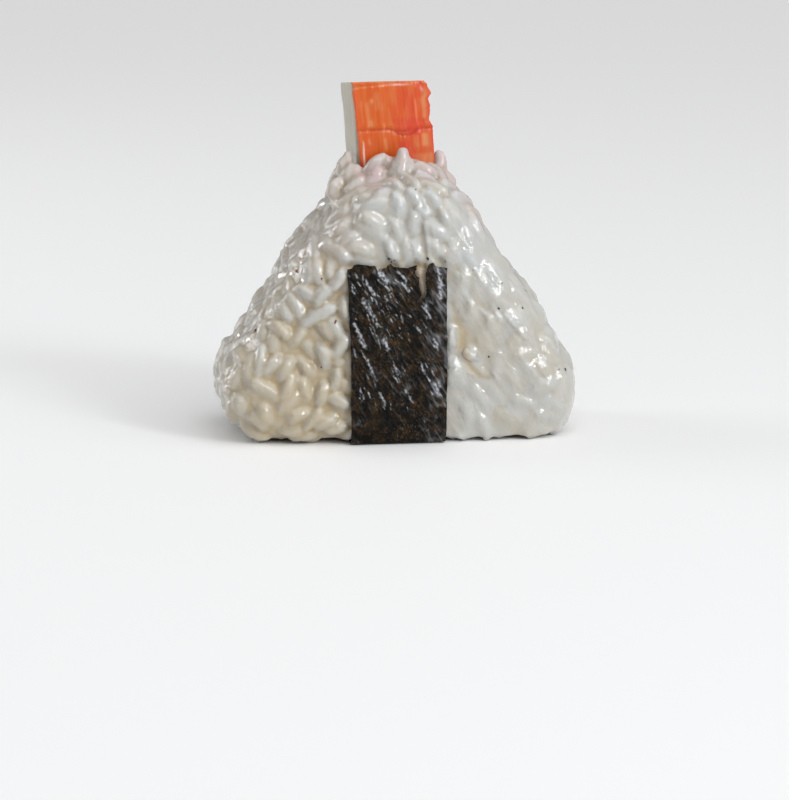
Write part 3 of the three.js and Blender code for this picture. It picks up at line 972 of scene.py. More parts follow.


# how the colour of the rice changes over the front, much of it painted shade and painted light
shades = {
    "seamLine": 0.16,    # painted shade along the seams between grains, and where three of them meet
    "seamCorner": 0.6,
    "lowerSeams": 1.1,   # how much more painted shade they get at the lower left
    # painted shade in the clefts
    "cleft": 0.75,
    "tear": 0.7,         # brown seen through the tear in the nori, and its pink
    "tearBlush": 0.22,
    "lowLeftGapShade": 0.24,     # painted shade low on the left, and a tan patch at the right of the nori
    "rightGap": 0.16,
    "topClear": 0.45,    # less painted gap shade at the top
    "rim": 0.25,         # painted shade at the grains' edges, with paler middles
    "rightPaintedLight": 0.14,   # painted light on the right, painted highlights on the smear ridges, painted shade on the left and low on the left, and paler at the top
    "ridgeHighlight": 0.9,
    "leftShade": 0.3,
    "lowLeftShade": 0.55,
    "topPale": 0.18,
}


def paint(piece, tones, hollow=0, apart=None):
    # red: each grain's own tone, with painted shade and painted light; green: stain; blue: brown painted shade in
    # the gaps between grains, and tan patches; alpha: how smeared the right side is
    points = coordinates(piece.data)
    x, y, z = points.T
    front, flat = onFront(y), smearedShare(points)
    # painted shade low on the left
    shadedLowLeft, top = front * around(x, z, -25, 9, 13), front * rise(z, 41, 4)
    inTear = shades["tear"] * front * bell(x, 3.7, 1.1) * rise(z, 32, 2) * fade(z, 43, 2)
    start, end = mass["gap"]
    # painted shade: brown by how deep and how hollow each gap is, less where smeared, and in the clefts
    gapShadeAndTan = (rise(depths(points), start, end - start) * 0.5 + hollow) * (1 - 0.65 * flat)
    gapShadeAndTan = np.clip(gapShadeAndTan + shades["cleft"] * front * strokes(x, z, clefts) + inTear, 0, 1)
    if apart is not None:
        seen = np.clip(0.35 + 1.3 * wave(points, 5, 41), 0, 1) * (1 - flat)
        # painted shade along the seams, in the corners where three grains meet, and at each grain's edge
        line = shades["seamLine"] * bell(apart[0], 0, 0.42) * seen
        corner = shades["seamCorner"] * bell(apart[1], 0, 0.75) * (0.3 + 0.7 * seen) * (1 - flat)
        gapShadeAndTan += (line + corner) * (1 + shades["lowerSeams"] * (front * fade(z, 26, 12) * rise(-x, 0, 4)))
        tones = tones + shades["rim"] * (rise(apart[0], 0, 1.5) - 0.5) * (1 - flat)
    # painted light on the right, and painted highlights along the smear ridges
    tones = tones + front * (shades["rightPaintedLight"] * rise(x, 6, 10) + shades["ridgeHighlight"] * strokes(x, z, smears))
    # painted shade on the left and low on the left
    tones = tones - shades["leftShade"] * front * rise(-x, 4, 10)
    tones = tones - shades["lowLeftShade"] * shadedLowLeft + shades["topPale"] * top
    gapShadeAndTan = gapShadeAndTan * (1 - shades["topClear"] * top) + shades["lowLeftGapShade"] * shadedLowLeft
    gapShadeAndTan = np.clip(gapShadeAndTan + shades["rightGap"] * front * around(x, z, 20, 22, 7), 0, 1)
    tones = tones + (0.55 - tones) * 0.5 * flat
    stained = np.maximum(blush(points), shades["tearBlush"] * inTear)
    store(piece.data, "tint", "FLOAT_COLOR", np.stack([tones, stained, gapShadeAndTan, pressedShare(points) * (x > 0)], 1))
    # the left edge is the wettest; its darker wet colour is also painted shade on the side turned from the key
    # lamp
    store(piece.data, "wetAndShaded", "FLOAT", rise(-directions(piece.data)[:, 0], 0.25, 0.3))


riceColours = {
    # brown of the painted shade in the gaps
    "gap": (0.42, 0.32, 0.175),
    "cream": (0.44, 0.395, 0.31),
    # the palest tone, also the colour of the painted highlights and painted light
    "white": (0.468, 0.48, 0.475),
    "blush": (0.49, 0.335, 0.34),
    # darker for the wet film, and as painted shade on the left-facing side
    "wetAndShaded": (0.36, 0.315, 0.255),
    "roughness": (0.26, 0.5),  # least and most
}

riceFinish = {
    "Subsurface Weight": 0.85,
    "Subsurface Radius": (1.0, 0.93, 0.84),
    "Subsurface Scale": 2.3 * mm,
    "IOR": 1.4,
    "Coat Weight": 0.9,      # the wet starch on top
    "Coat Roughness": 0.05,
}


def riceMaterial(name):
    material, tree, shader = newMaterial(name, riceFinish)
    tint, wetAndShaded = painted(tree), painted(tree, "wetAndShaded")["Fac"]
    own, stain, gap = channels(tree, tint["Color"])
    tone = added(tree, own, multiplied(tree, clouds(tree, 320, 3, 0.55), 0.6))
    tone = calculated(tree, "SUBTRACT", tone, 0.3)
    colour = ramp(tree, tone, [(0.0, riceColours["cream"]), (0.95, riceColours["white"])])
    # painted shade in the gaps, the stick's stain, and the darker wet film with painted shade on the left side
    shares = {"gap": gap, "blush": multiplied(tree, stain, 0.8), "wetAndShaded": multiplied(tree, wetAndShaded, 0.45)}
    for key, share in shares.items():
        colour = blended(tree, share, colour, riceColours[key])
    tree.links.new(colour, shader.inputs["Base Color"])
    least, most = riceColours["roughness"]
    tree.links.new(ramp(tree, clouds(tree, 500, 2), [(0.3, least), (0.7, most)]), shader.inputs["Roughness"])
    # fine grit, streaks where the rice is smeared, and drops where it is wet
    relief = added(tree, multiplied(tree, clouds(tree, 1200, 2), 0.6), clouds(tree, 480, 2))
    streaks = clouds(tree, 750, 3, 0.55, stretched(tree, (1, 1.5, 4.5), (0, -33, 0)))
    relief = added(tree, relief, multiplied(tree, streaks, multiplied(tree, tint["Alpha"], 1.3)))
    drops = multiplied(tree, ramp(tree, clouds(tree, 760, 1, 0.4), [(0.45, 0.0), (0.65, 1.0)], smooth=True), wetAndShaded)
    relief = added(tree, relief, multiplied(tree, drops, 0.75))
    tree.links.new(bumped(tree, shader, relief, 0.3, 0.4), shader.inputs["Coat Normal"])
    return material


rng = np.random.default_rng(grains["seed"])
byHand = grainsLaidByHand()
outer = byHand + scatter(grains["outer"], rng, byHand)
under = scatter(grains["under"], rng, outer)
laid = outer + under
shapeGrains(laid, rng)
print("grains laid:", len(outer), "outside and", len(under), "under them")

cookedRice = riceMaterial("cookedRice")
owners = KDTree(len(laid) * 4)
for i, g in enumerate(laid):
    for p in spine(g["centre"], g["along"], g["length"]):
        owners.insert(p, i)
owners.balance()
massPiece, own, apart, links = riceMass(laid, cookedRice, owners)
tones = np.array([g["tone"] for g in laid])[own]
# painted shade in the hollows between grains
paint(massPiece, tones, np.clip(hollowness(massPiece.data, links, 4) / 0.22, 0, 0.7), apart)
print("rice mass:", len(massPiece.data.polygons), "faces")

crisp = byHand[:len(frontGrains)]
besideSmears = widened(smears, more=1.5, high=1)
for g in outer[len(byHand):]:
    x, y, z = g["centre"]
    smeared = y < 0 and strokes(x, z, besideSmears) > 0.3
    if g["pressed"] < 0.4 and abs(g["normal"][1]) > 0.8 and not smeared and rng.random() < mass["crisp"]:
        crisp.append(g)
for g in crisp:
    # pale ones stand out most, and those at the top least
    sink = g["normal"] * ((0.14 if g["tone"] > 0.72 else 0.28) + 0.24 * (g["centre"][2] > 41))
    g["centre"], g["points"] = g["centre"] - sink, g["points"] - sink
points, faces, tones = joined(crisp)
grainPiece = addPiece("looseGrains", points, faces, cookedRice)
# painted shade on the lower parts of the loose grains, where they sink into the mass
sunk = np.concatenate([(g["points"] - g["centre"]) @ g["normal"] / g["height"] for g in crisp])
paint(grainPiece, tones, np.clip((0.12 - sunk) / 0.45, 0, 0.6))
print("rice done")


# burnt and brown specks in the rice, and crumbs the nori has left: x, z and size on the front
brownSpecks = ((-15.9, 28.8, 1.3), (-26.3, 40.4, 1.1), (-33.5, 26.0, 1.1), (-18.9, 38.6, 0.6), (-19.1, 18.2, 0.7))
darkSpecks = (
    (5.2, 42.9, 0.9), (9.3, 42.1, 0.5), (21.7, 31.0, 0.8), (22.5, 36.8, 0.6), (27.5, 30.8, 0.7),
    (19.4, 19.9, 0.6), (38.0, 15.9, 0.9), (36.2, 16.2, 0.6), (2.7, 58.5, 0.5), (-3.6, 43.0, 1.1),
    (-3.0, 42.2, 0.7), (-2.4, 42.6, 0.5),
)

specks = {
    "brown": (0.22, 0.055, 0.015),
    "dark": (0.03, 0.03, 0.02),
    "shade": 0.6,       # how dark their darker parts are
    "roughness": 0.45,
    "sides": 7,
    "belly": 0.1,       # how thick they are, as shares of their size
    "edge": 0.18,
    "top": 0.24,
}


def crumb(rng, size):
    # a torn fleck: a bent ring round a middle point, with a little thickness
    count = specks["sides"]
    angles = np.arange(count) * 2 * math.pi / count
    rim = np.stack([np.cos(angles), np.sin(angles) * rng.uniform(0.45, 0.9), rng.normal(0, 0.12, count)], 1)
    rim *= rng.uniform(0.6, 1.15, (count, 1)) * size / 2
    tips = [(0, 0, -size * specks["belly"]), (0, 0, size * specks["top"])]
    points = np.vstack([rim, rim * 0.8 + (0, 0, size * specks["edge"]), tips])
    return points, closedFaces(2, count, 2 * count, 2 * count + 1)


def sprinkled(name, places, material, seed):
    rng = np.random.default_rng(seed)
    mesh = massPiece.data
    tree = BVHTree.FromPolygons(coordinates(mesh).tolist(), [tuple(p.vertices) for p in mesh.polygons])
    points, faces = [], []
    for x, z, size in places:
        spot, normal = tree.ray_cast((x, -60, z), (0, 1, 0))[:2]
        if spot is None:
            spot, normal = tree.find_nearest((x, -15, z))[:2]
        own, ownFaces = crumb(rng, size)
        turn = rng.uniform(0, math.pi)
        side = np.cross(normal, (math.cos(turn), 0.3, math.sin(turn)))
        side /= np.linalg.norm(side)
        axes = np.stack([side, np.cross(normal, side), np.array(normal)])
        faces += [tuple(len(points) + i for i in f) for f in ownFaces]
        points += (own @ axes + np.array(spot)).tolist()
    return addPiece(name, points, faces, material)


def speckMaterial(name, colour):
    material, tree, shader = newMaterial(name, {"Roughness": specks["roughness"]})
    darker = tuple(c * specks["shade"] for c in colour)
    mottled = ramp(tree, clouds(tree, 2500, 2), [(0.35, darker), (0.65, colour)])
    tree.links.new(mottled, shader.inputs["Base Color"])
    return material


sprinkled("brownSpecks", brownSpecks, speckMaterial("brownSpeck", specks["brown"]), 3)
sprinkled("noriCrumbs", darkSpecks, speckMaterial("noriCrumb", specks["dark"]), 5)
print("specks done")


# nori: one sheet, up the front, under the foot and up the back

# the brightest creases, also painted as highlights: both ends (x, z, x, z), half width and height
noriStrokes = (
    (-6.3, 40.4, -4.3, 37.9, 0.62, 1), (-4.6, 36.9, -3.2, 35.3, 0.3, 1), (-1.9, 40.1, -0.4, 38.7, 0.26, 1),
    (-0.9, 37.6, 0.7, 35.6, 0.26, 1), (-9.3, 38.4, -7.5, 35.2, 0.34, 0.9),
    (-7.5, 34.3, -6.8, 33.2, 0.22, 0.7), (-9.9, 33.3, -6.9, 29.3, 0.3, 0.95),
    (-7.6, 29.4, -6.6, 27.9, 0.34, 0.8), (-12.0, 28.4, -10.6, 25.2, 0.4, 0.85),
    (-11.0, 25.6, -9.9, 23.4, 0.5, 1), (-5.2, 24.8, -4.2, 22.6, 0.42, 1), (4.3, 31.7, 5.6, 29.6, 0.3, 1),
    (7.0, 41.0, 8.2, 38.6, 0.3, 0.85), (7.6, 38.6, 8.3, 36.9, 0.4, 0.9), (7.7, 37.0, 7.8, 34.2, 0.42, 0.95),
    (-12.6, 36.9, -12.0, 35.4, 0.2, 0.8), (-9.9, 34.2, -9.4, 33.2, 0.3, 0.7),
    (-11.4, 39.6, -11.0, 38.6, 0.3, 0.6), (-4.0, 30.7, -3.2, 28.8, 0.3, 0.6),
    (-2.4, 33.9, -1.8, 32.6, 0.22, 0.6), (-6.6, 25.2, -5.9, 22.6, 0.2, 0.6),
    (0.2, 26.8, 0.8, 24.4, 0.2, 0.55), (2.6, 27.6, 3.1, 26.6, 0.3, 0.7),
    (-12.6, 22.4, -12.0, 20.6, 0.24, 0.8), (6.4, 24.5, 7.3, 22.6, 0.25, 0.7),
    (-9.0, 20.0, -7.8, 17.0, 0.35, 0.8), (-2.8, 18.6, -1.9, 16.5, 0.3, 0.7), (3.1, 19.4, 4.3, 16.8, 0.3, 0.8),
    (-11.0, 13.5, -10.1, 11.2, 0.3, 0.7), (-6.1, 12.4, -4.7, 9.6, 0.32, 0.8),
    (0.6, 12.0, 1.6, 9.9, 0.26, 0.7), (6.6, 14.2, 7.7, 11.6, 0.3, 0.8), (-1.2, 31.0, -0.8, 28.6, 0.2, 0.6),
)


def finerStrokes(rng, count):
    # short ones crowd round the drawn ones
    found = []
    for _ in range(count):
        x1, z1, x2, z2, half, _ = noriStrokes[rng.integers(len(noriStrokes))]
        t, angle, length = rng.random(), math.radians(rng.normal(60, 9)), rng.uniform(0.5, 2.0)
        x, z = x1 + (x2 - x1) * t + rng.normal(0, 1.5), z1 + (z2 - z1) * t + rng.normal(0, 1.7)
        found.append(shortStroke(rng, x, z, angle, length, (0.12, 0.24), (0.25, 0.9)))
    return tuple(found)


def noriPath(offset, count):
    # y and z along the strip, and how far each place is from its nearer end
    flat = ball["thickness"] / 2 - ball["edge"]
    radius = ball["edge"] + offset
    bend = math.asin((nori["cornerZ"] - nori["foot"]) / radius)
    half = [(0.0, nori["foot"])]
    for angle in np.linspace(bend, 0, 12):
        half.append((flat + radius * math.cos(angle), nori["cornerZ"] - radius * math.sin(angle)))
    half.append((ball["thickness"] / 2 + offset, nori["top"]))
    path = np.array([(-y, z) for y, z in half[:0:-1]] + half)
    lengths = np.concatenate([[0], np.cumsum(np.linalg.norm(np.diff(path, axis=0), axis=1))])
    places = np.linspace(0, lengths[-1], count)
    y, z = (np.interp(places, lengths, path[:, k]) for k in (0, 1))
    return y, z, np.minimum(places, lengths[-1] - places)


def inside(polygon, x, z):
    result = False
    for (ax, az), (bx, bz) in zip(polygon, polygon[1:] + polygon[:1]):
        if (az > z) != (bz > z) and x < (bx - ax) * (z - az) / (bz - az) + ax:
            result = not result
    return result


def sharpLines(points, size, seed, power):
    # thin lines where the noise crosses nought
    return (1 - np.abs(wave(points, size, seed)) * 1.6).clip(0, 1) ** power


def noriSheet():
    columns, rows = nori["columns"], nori["rows"]
    x = np.tile(np.linspace(nori["left"], nori["right"], columns), rows)
    y, z, fromEnd = (np.repeat(v, columns) for v in noriPath(nori["off"], rows))
    flat, front = at(x, y, z), y < 0
    # the upper edge in front is torn as drawn, the one behind only a little
    ragged, raggedBehind = nori["ragged"]
    torn = np.interp(x, *np.array(noriEdge).T) - nori["top"] + ragged * wave(at(x, 0, 0), 0.5, 8)
    behind = raggedBehind * wave(at(x, 0, 0), 1.6, 9)
    z = z + np.where(front, torn, behind) * fade(fromEnd, 8, 8)
    points = settle(at(x, y, z))
    side = np.abs(2 * (x - nori["left"]) / (nori["right"] - nori["left"]) - 1) ** 10
    points[:, 0] += side * nori["stray"] * wave(flat * (0, 1, 1), 2.6, 4)
    points[:, 0] += nori["drawnIn"] * rise(-x, 0, 13) ** 3 * fade(z, 40, 18)
    # creases run down to the right
    across, along = slanted(x, z)
    slant = at(across, y * 0.2, along * 0.24)
    crease = sharpLines(slant, 1.7, 2, 3) * (0.5 + wave(flat, 5, 12))
    small = sharpLines(slant, 0.8, 3, 2)
    table = widened(noriStrokes, nori["broad"]) + finerStrokes(np.random.default_rng(4), nori["fine"])
    # behind, the same strokes are turned round and moved up
    u = np.where(front, x + nori["shaky"] * wave(flat, 0.8, 14), -x)
    w = np.where(front, z, z - 3)
    drawn = strokes(u, w, table)
    relief = nori["bumps"] * wave(flat, 3.6, 1) + nori["creases"] * (crease + 0.45 * small)
    relief += nori["crinkle"] * wave(flat, 0.5, 5) * (1 - 0.7 * drawn)
    relief += facets(u, w, table)
    paintedSheen = nori["paintedSheen"] * front * rise(x, 2, 5) * (0.85 + 0.8 * wave(flat, 1.4, 16))
    # painted highlights along the creases and strokes, and painted sheen on the right; the same values also make
    # these places glossier
    shine = 0.34 * crease + 0.2 * small + drawn * (0.75 + 1.1 * wave(flat, 0.55, 15)) + paintedSheen
    outward = rise(np.abs(y), 0, 10) ** 2 * np.sign(y)
    points[:, 1] += outward * relief * (0.25 + 0.75 * rise(z, 1.5, 4))
    # the flap right of the tear curls up along the tear
    curl = (1 - rise(x, 4.6, 1.6)) * (x > 4.3) * rise(z, 33.5, 3) * front
    points[:, 1] -= nori["curl"] * curl ** 2
    faces = []
    for f in gridFaces(rows, columns):
        p = flat[f[0]]
        if p[1] < -8 and inside(noriTear, p[0] + 0.15 * noise.noise(Vector(p) * 1.9), z[f[0]]):
            continue
        faces.append(f)
    return points, faces, np.clip(shine, 0, 1)


def rimmed(points, faces, thickness):
    # open edges turn in towards the rice, so that the sheet shows its thickness
    seen = {}
    for f in faces:
        for a, b in zip(f, f[1:] + f[:1]):
            if (b, a) in seen:
                del seen[(b, a)]
            else:
                seen[(a, b)] = True
    rim, extra = {}, []
    for v in (v for edge in seen for v in edge):
        if v not in rim:
            rim[v] = len(points) + len(extra)
            p = points[v].copy()
            p[1] -= np.sign(p[1]) * thickness * min(1, abs(p[1]) / 10)
            p[2] += thickness * (1 - min(1, abs(p[1]) / 10))
            extra.append(p)
    return np.vstack([points, extra]), faces + [(b, a, rim[a], rim[b]) for a, b in seen]


noriColours = {
    "black": (0.004, 0.0035, 0.003),
    "brown": (0.037, 0.02, 0.0075),
    "olive": (0.022, 0.019, 0.005),
    "amber": (0.12, 0.05, 0.008),
    # colour of the painted highlights
    "sheen": (0.31, 0.325, 0.355),
    # flecks of painted sheen
    "fleck": (0.09, 0.078, 0.068),
    "roughness": 0.24,
}


def noriMaterial():
    material, tree, shader = newMaterial("driedSeaweed", {"Specular IOR Level": 0.07, "Coat Roughness": 0.22})
    shine, rough, slope = painted(tree)["Fac"], noriColours["roughness"], (0, -32, 0)
    fibre = clouds(tree, 1500, 5, 0.7, stretched(tree, (1, 1, 3.0), slope))
    mottle, spots = clouds(tree, 330, 5, 0.7), clouds(tree, 900, 3, 0.6)
    stops = [(0.45, noriColours["black"]), (0.56, noriColours["brown"]), (0.66, noriColours["olive"])]
    colour = ramp(tree, mottle, stops)
    colour = blended(tree, ramp(tree, fibre, [(0.42, 0.95), (0.62, 0.0)]), colour, noriColours["black"])
    # light shows through thin spots
    glow = ramp(tree, spots, [(0.56, 0.0), (0.7, 0.8)]), ramp(tree, mottle, [(0.5, 0.0), (0.62, 0.9)])
    colour = blended(tree, multiplied(tree, *glow), colour, noriColours["amber"])
    # flecks of painted sheen, in broad patches
    flecks = clouds(tree, 2100, 3, 0.6, stretched(tree, (1, 1, 1.7), slope))
    flecks = ramp(tree, flecks, [(0.54, 0.0), (0.7, 0.75)])
    paintedSheen = multiplied(tree, flecks, ramp(tree, clouds(tree, 170, 3, 0.6), [(0.4, 0.1), (0.62, 1.0)]))
    colour = blended(tree, paintedSheen, colour, noriColours["fleck"])
    # painted highlights where the sheet is painted to shine
    sheen = ramp(tree, shine, [(0.35, 0.0), (0.75, 0.4), (1.0, 0.95)])
    colour = blended(tree, sheen, colour, noriColours["sheen"])
    tree.links.new(colour, shader.inputs["Base Color"])
    dull = ramp(tree, fibre, [(0.35, rough + 0.3), (0.6, rough + 0.05)])
    tree.links.new(blended(tree, shine, dull, (rough,) * 3), shader.inputs["Roughness"])
    tree.links.new(ramp(tree, shine, [(0.2, 0.02), (0.7, 1.0)]), shader.inputs["Coat Weight"])
    relief = added(tree, fibre, multiplied(tree, spots, 0.8))
    tree.links.new(bumped(tree, shader, relief, 0.25, 0.7), shader.inputs["Coat Normal"])
    return material


seaweed = noriMaterial()
points, faces, shine = noriSheet()
points, faces = rimmed(points, faces, nori["thickness"])
shine = np.pad(shine, (0, len(points) - len(shine)))
addPiece("noriSheet", points, faces, seaweed, ("nori_strip",), tint=grey(shine))
print("nori done")


# crab stick: white flesh with a red skin on its front

def roundedRing(x0, x1, y0, y1, corner, perCorner, perSide):
    ring = []
    right, left, back, front = x1 - corner, x0 + corner, y1 - corner, y0 + corner
    corners = [(right, back), (left, back), (left, front), (right, front)]
    for q, (cx, cy) in enumerate(corners):
        for k in range(perCorner + 1):
            a = math.pi / 2 * (q + k / perCorner)
            ring.append((cx + corner * math.cos(a), cy + corner * math.sin(a)))
        nx, ny = corners[(q + 1) % 4]
        a = math.pi / 2 * (q + 1)
        start = np.array(ring[-1])
        end = np.array((nx + corner * math.cos(a), ny + corner * math.sin(a)))
        steps = perSide if q % 2 == 0 else max(2, perSide // 3)
        ring.extend(tuple(start + (end - start) * s / steps) for s in range(1, steps))
    return np.array(ring)


def column(ring, levels, reshape):
    # the ring carried up through the levels, then drawn in over the top and closed
    middle, swell = ring.mean(0), 0.05
    rings = [(ring, z) for z in levels]
    rings += [(middle + (ring - middle) * s, levels[-1] + (1 - s) * swell) for s in (0.97, 0.9, 0.7, 0.4)]
    points = [(x, y, z) for row, z in rings for x, y in row]
    points = np.array(points + [(*middle, levels[0]), (*middle, levels[-1] + swell)], float)
    faces = closedFaces(len(rings), len(ring), len(points) - 2, len(points) - 1)
    return stickPlaced(reshape(points)), faces, points


def lean(points):
    # the cut end drops to the back
    x, y, z = points.T
    share = rise(z, stick["bottom"], stick["top"] - stick["bottom"])
    back = (y + stick["depth"] / 2) / stick["depth"]
    return at(x, y, z - stick["backDrop"] * back * share ** 6)


def fleshForm(points):
    # its layers show as uneven sides and back
    x, y, z = points.T
    layers = wave(at(x * 0.9, y * 0.9, z * 0.07), 1.0, 1) * stick["layers"]
    layers += wave(points, 5.0, 2) * stick["uneven"]
    side = np.abs(x) > stick["width"] / 2 - 2
    return lean(at(x + np.sign(x) * layers * side, y + np.where(y > 0, layers, 0), z))


# streaks in the skin, in its own frame: x, z from and to, half width and strength. The thin pale one near the
# left edge is a painted highlight.
paleStreaks = (
    (-4.9, 76.6, 78.4, 0.45, 1.0), (-5.8, 71.0, 77.6, 0.75, 0.5), (-2.3, 70.4, 73.0, 0.35, 0.65),
    (-5.2, 71.4, 73.6, 0.5, 0.75), (5.7, 71.2, 78.2, 0.3, 0.5), (7.7, 73.0, 80.6, 0.6, 0.75),
    (6.1, 80.3, 81.4, 0.4, 0.8), (-6.1, 67.2, 69.6, 0.5, 0.6), (-2.2, 65.8, 69.4, 0.35, 0.6),
    (7.2, 66.6, 70.4, 0.8, 0.8), (5.3, 66.4, 70.0, 0.5, 0.5), (6.4, 58.0, 65.6, 2.2, 0.6),
    (-7.8, 60.0, 68.8, 0.16, 1.0), (-3.4, 75.0, 80.0, 1.1, 0.35), (-7.2, 72.0, 78.0, 0.25, 0.45),
    (1.1, 74.0, 79.0, 0.25, 0.25), (3.4, 72.5, 77.0, 0.2, 0.25), (-0.6, 71.5, 76.5, 0.3, 0.3),
    (8.3, 60.0, 66.0, 0.5, 0.5),
)
redStreaks = (
    (3.2, 69.6, 74.0, 3.0, 0.8), (2.2, 60.0, 68.6, 1.3, 0.75), (-8.4, 60.0, 80.0, 0.5, 0.45),
    (8.7, 60.0, 81.0, 0.25, 0.9), (4.6, 60.0, 66.8, 0.3, 0.9), (0.9, 74.0, 80.5, 1.5, 0.2),
    (4.2, 74.0, 80.0, 1.2, 0.4), (-6.9, 60.0, 68.0, 0.7, 0.3),
)

# how far out the right and the left edge of the skin wander, each with its heights
skinRight = (
    (50, 58, 60.5, 63, 66, 69.7, 71.4, 72.9, 74.2, 76.3, 77.8, 79, 80.3, 81.2, 82),
    (0.9, 0.8, 0.7, 0.35, 0.3, 0.35, 0.5, -0.3, -0.05, 0.25, -0.15, 0.8, 0.1, -0.1, -1.0),
)
skinLeft = (
    (50, 68.6, 70.2, 72, 77, 78.6, 79.6, 80.8, 81.6, 82),
    (0.1, -0.1, 0.0, 0.1, 0.1, 0.4, 0.35, -0.1, 0.4, 0.4),
)


def streaked(x, z, streaks):
    total = np.zeros_like(x)
    shaky = 0.25 * wave(at(x * 0.5, 0, z * 0.4), 1.0, 21)
    for place, low, high, half, strength in streaks:
        along = rise(z, low, 0.8) * fade(z, high, 0.8)
        total += strength * along * bell(x + shaky, place, half)
    return total


def folds(u):
    # the heights of the two folds across the skin
    sag, apart = np.clip(1 - ((u - 3) / 4) ** 2, 0, 1), np.clip(1 - ((u - 2.6) / 3.4) ** 2, 0, 1)
    upper = skin["crease"] - 0.3 - 0.5 * sag + 0.12 * u / (stick["width"] / 2)
    return upper, upper - 0.9 * apart


def rimSlope(u):
    # the line under the cut end rises to the right
    return 0.085 * (u + 8.5)


def skinForm(points):
    u, y, z = points.T
    half = stick["width"] / 2
    right, left = rise(u, 0, half) ** 6, rise(-u, 0, half) ** 6
    rightRagged, leftRagged = skin["ragged"]
    rightEdge = np.interp(z, *skinRight) + rightRagged * wave(at(0, 0, z), 0.7, 6)
    leftEdge = -np.interp(z, *skinLeft) + leftRagged * wave(at(0, 0, z), 0.8, 5)
    broad, fine, slow = skin["ribs"]
    ribs = broad * wave(at(u, 0, z * 0.05), 1.1, 3) + fine * wave(at(u, 0, z * 0.12), 0.45, 4)
    ribs += slow * wave(at(u, 0, z * 0.6), 4, 7)
    upper, lower = folds(u)
    upperDeep, lowerDeep, swell = skin["folds"]
    crease = upperDeep * bell(z, upper, 0.45) + lowerDeep * bell(z, lower, 0.4)
    crease -= swell * bell(z - upper, 0.9, 0.5)
    lip = skin["lip"] * bell(z - 80.6, rimSlope(u), 0.25)
    ridge = skin["ridge"] * bell(u, -7.7, 0.28) * fade(z, 68.8, 1.0)
    front = y < -stick["depth"] / 2 - 0.4
    y = y + np.where(front, crease + lip - ribs - ridge, 0)
    return lean(at(u + right * rightEdge + left * leftEdge, y, z))


def skinTint(points):
    # red: how pale, with painted highlights under and along the cut end; green: how red; blue: painted shade in
    # the folds; alpha: painted highlights
    u, _, z = points.T
    upper, lower = folds(u)
    # pale streaks, and painted highlights under the cut end and along its top edge
    pale = streaked(u, z, paleStreaks) + 0.45 * bell(z - 80.5, rimSlope(u), 0.25) * fade(u, 3, 4)
    pale += 0.6 * bell(z, 81.8, 0.2)
    fine = wave(at(u, 0, z * 0.06), 0.55, 31) * 0.12 + wave(at(u, 0, z * 0.1), 0.22, 32) * 0.09
    fine += 0.3 * wave(at(u * 0.7, 0, z * 0.35), 1.3, 33)
    red = streaked(u, z, redStreaks) + np.clip((u + 1) / 12, 0, 0.5)
    broken = np.clip(0.6 + 0.9 * wave(at(u, 0, 0), 1.6, 34), 0.15, 1)
    # painted shade in the two folds
    dark = broken * bell(z, upper, 0.3) + 0.9 * bell(z, lower, 0.3) * fade(np.abs(u - 2.6), 3.4, 1)
    # painted highlights down the left edge and near the cut end
    gleam = 0.9 * bell(u + 7.75, 0.03 * (z - 65), 0.2) * fade(z, 68.6, 2) * rise(z, 61, 2)
    gleam += 0.5 * patch(u, z, 2.2, 81.1, 2.4, 0.22) + 0.35 * patch(u, z, 7.4, 80.2, 0.3, 0.6)
    return np.clip(np.stack([pale + fine, red - fine, dark * 0.7, gleam], 1), 0, 1)


stickColours = {
    # the sides take a darker flesh colour than the cut end: painted shade on the sides, painted light on the cut
    # end, which also shows layer lines
    "flesh": (0.40, 0.36, 0.28),
    "cutEnd": (0.58, 0.54, 0.45),
    "cutLine": (0.45, 0.4, 0.31),
    "fleshShade": (0.36, 0.32, 0.25),
    "orange": (0.56, 0.09, 0.007),
    "red": (0.57, 0.052, 0.019),
    "peach": (0.62, 0.25, 0.10),
    # painted shade in the folds
    "dark": (0.38, 0.022, 0.005),
    # colour of the painted highlights
    "gleam": (0.75, 0.62, 0.55),
}

fleshFinish = {
    "Subsurface Weight": 0.5,
    "Subsurface Radius": (1.0, 0.75, 0.55),
    "Subsurface Scale": 2.0 * mm,
    "Roughness": 0.35,
    "Coat Weight": 0.3,
    "Coat Roughness": 0.15,
}

skinFinish = {
    "Subsurface Weight": 0.2,
    "Subsurface Radius": (1.0, 0.35, 0.15),
    "Subsurface Scale": 0.8 * mm,
    "Roughness": 0.4,
    "Specular IOR Level": 0.15,
    "Coat Weight": 0.22,
    "Coat Roughness": 0.16,
}


def fleshMaterial():
    material, tree, shader = newMaterial("crabStickFlesh", fleshFinish)
    strands = clouds(tree, 1400, 4, 0.6, placed(tree, (1, 1, 0.06)))
    colour = ramp(tree, strands, [(0.35, stickColours["fleshShade"]), (0.6, stickColours["flesh"])])
    # the folded layers show as fine lines in the cut end
    layers = clouds(tree, 1500, 3, 0.6, placed(tree, (0.16, 1, 0.1), (0, 0, -9.7)))
    cut = ramp(tree, layers, [(0.38, stickColours["cutLine"]), (0.5, stickColours["cutEnd"])])
    # the cut end painted paler than the sides
    tree.links.new(blended(tree, painted(tree)["Fac"], colour, cut), shader.inputs["Base Color"])
    bumped(tree, shader, strands, 0.1, 0.6)
    return material


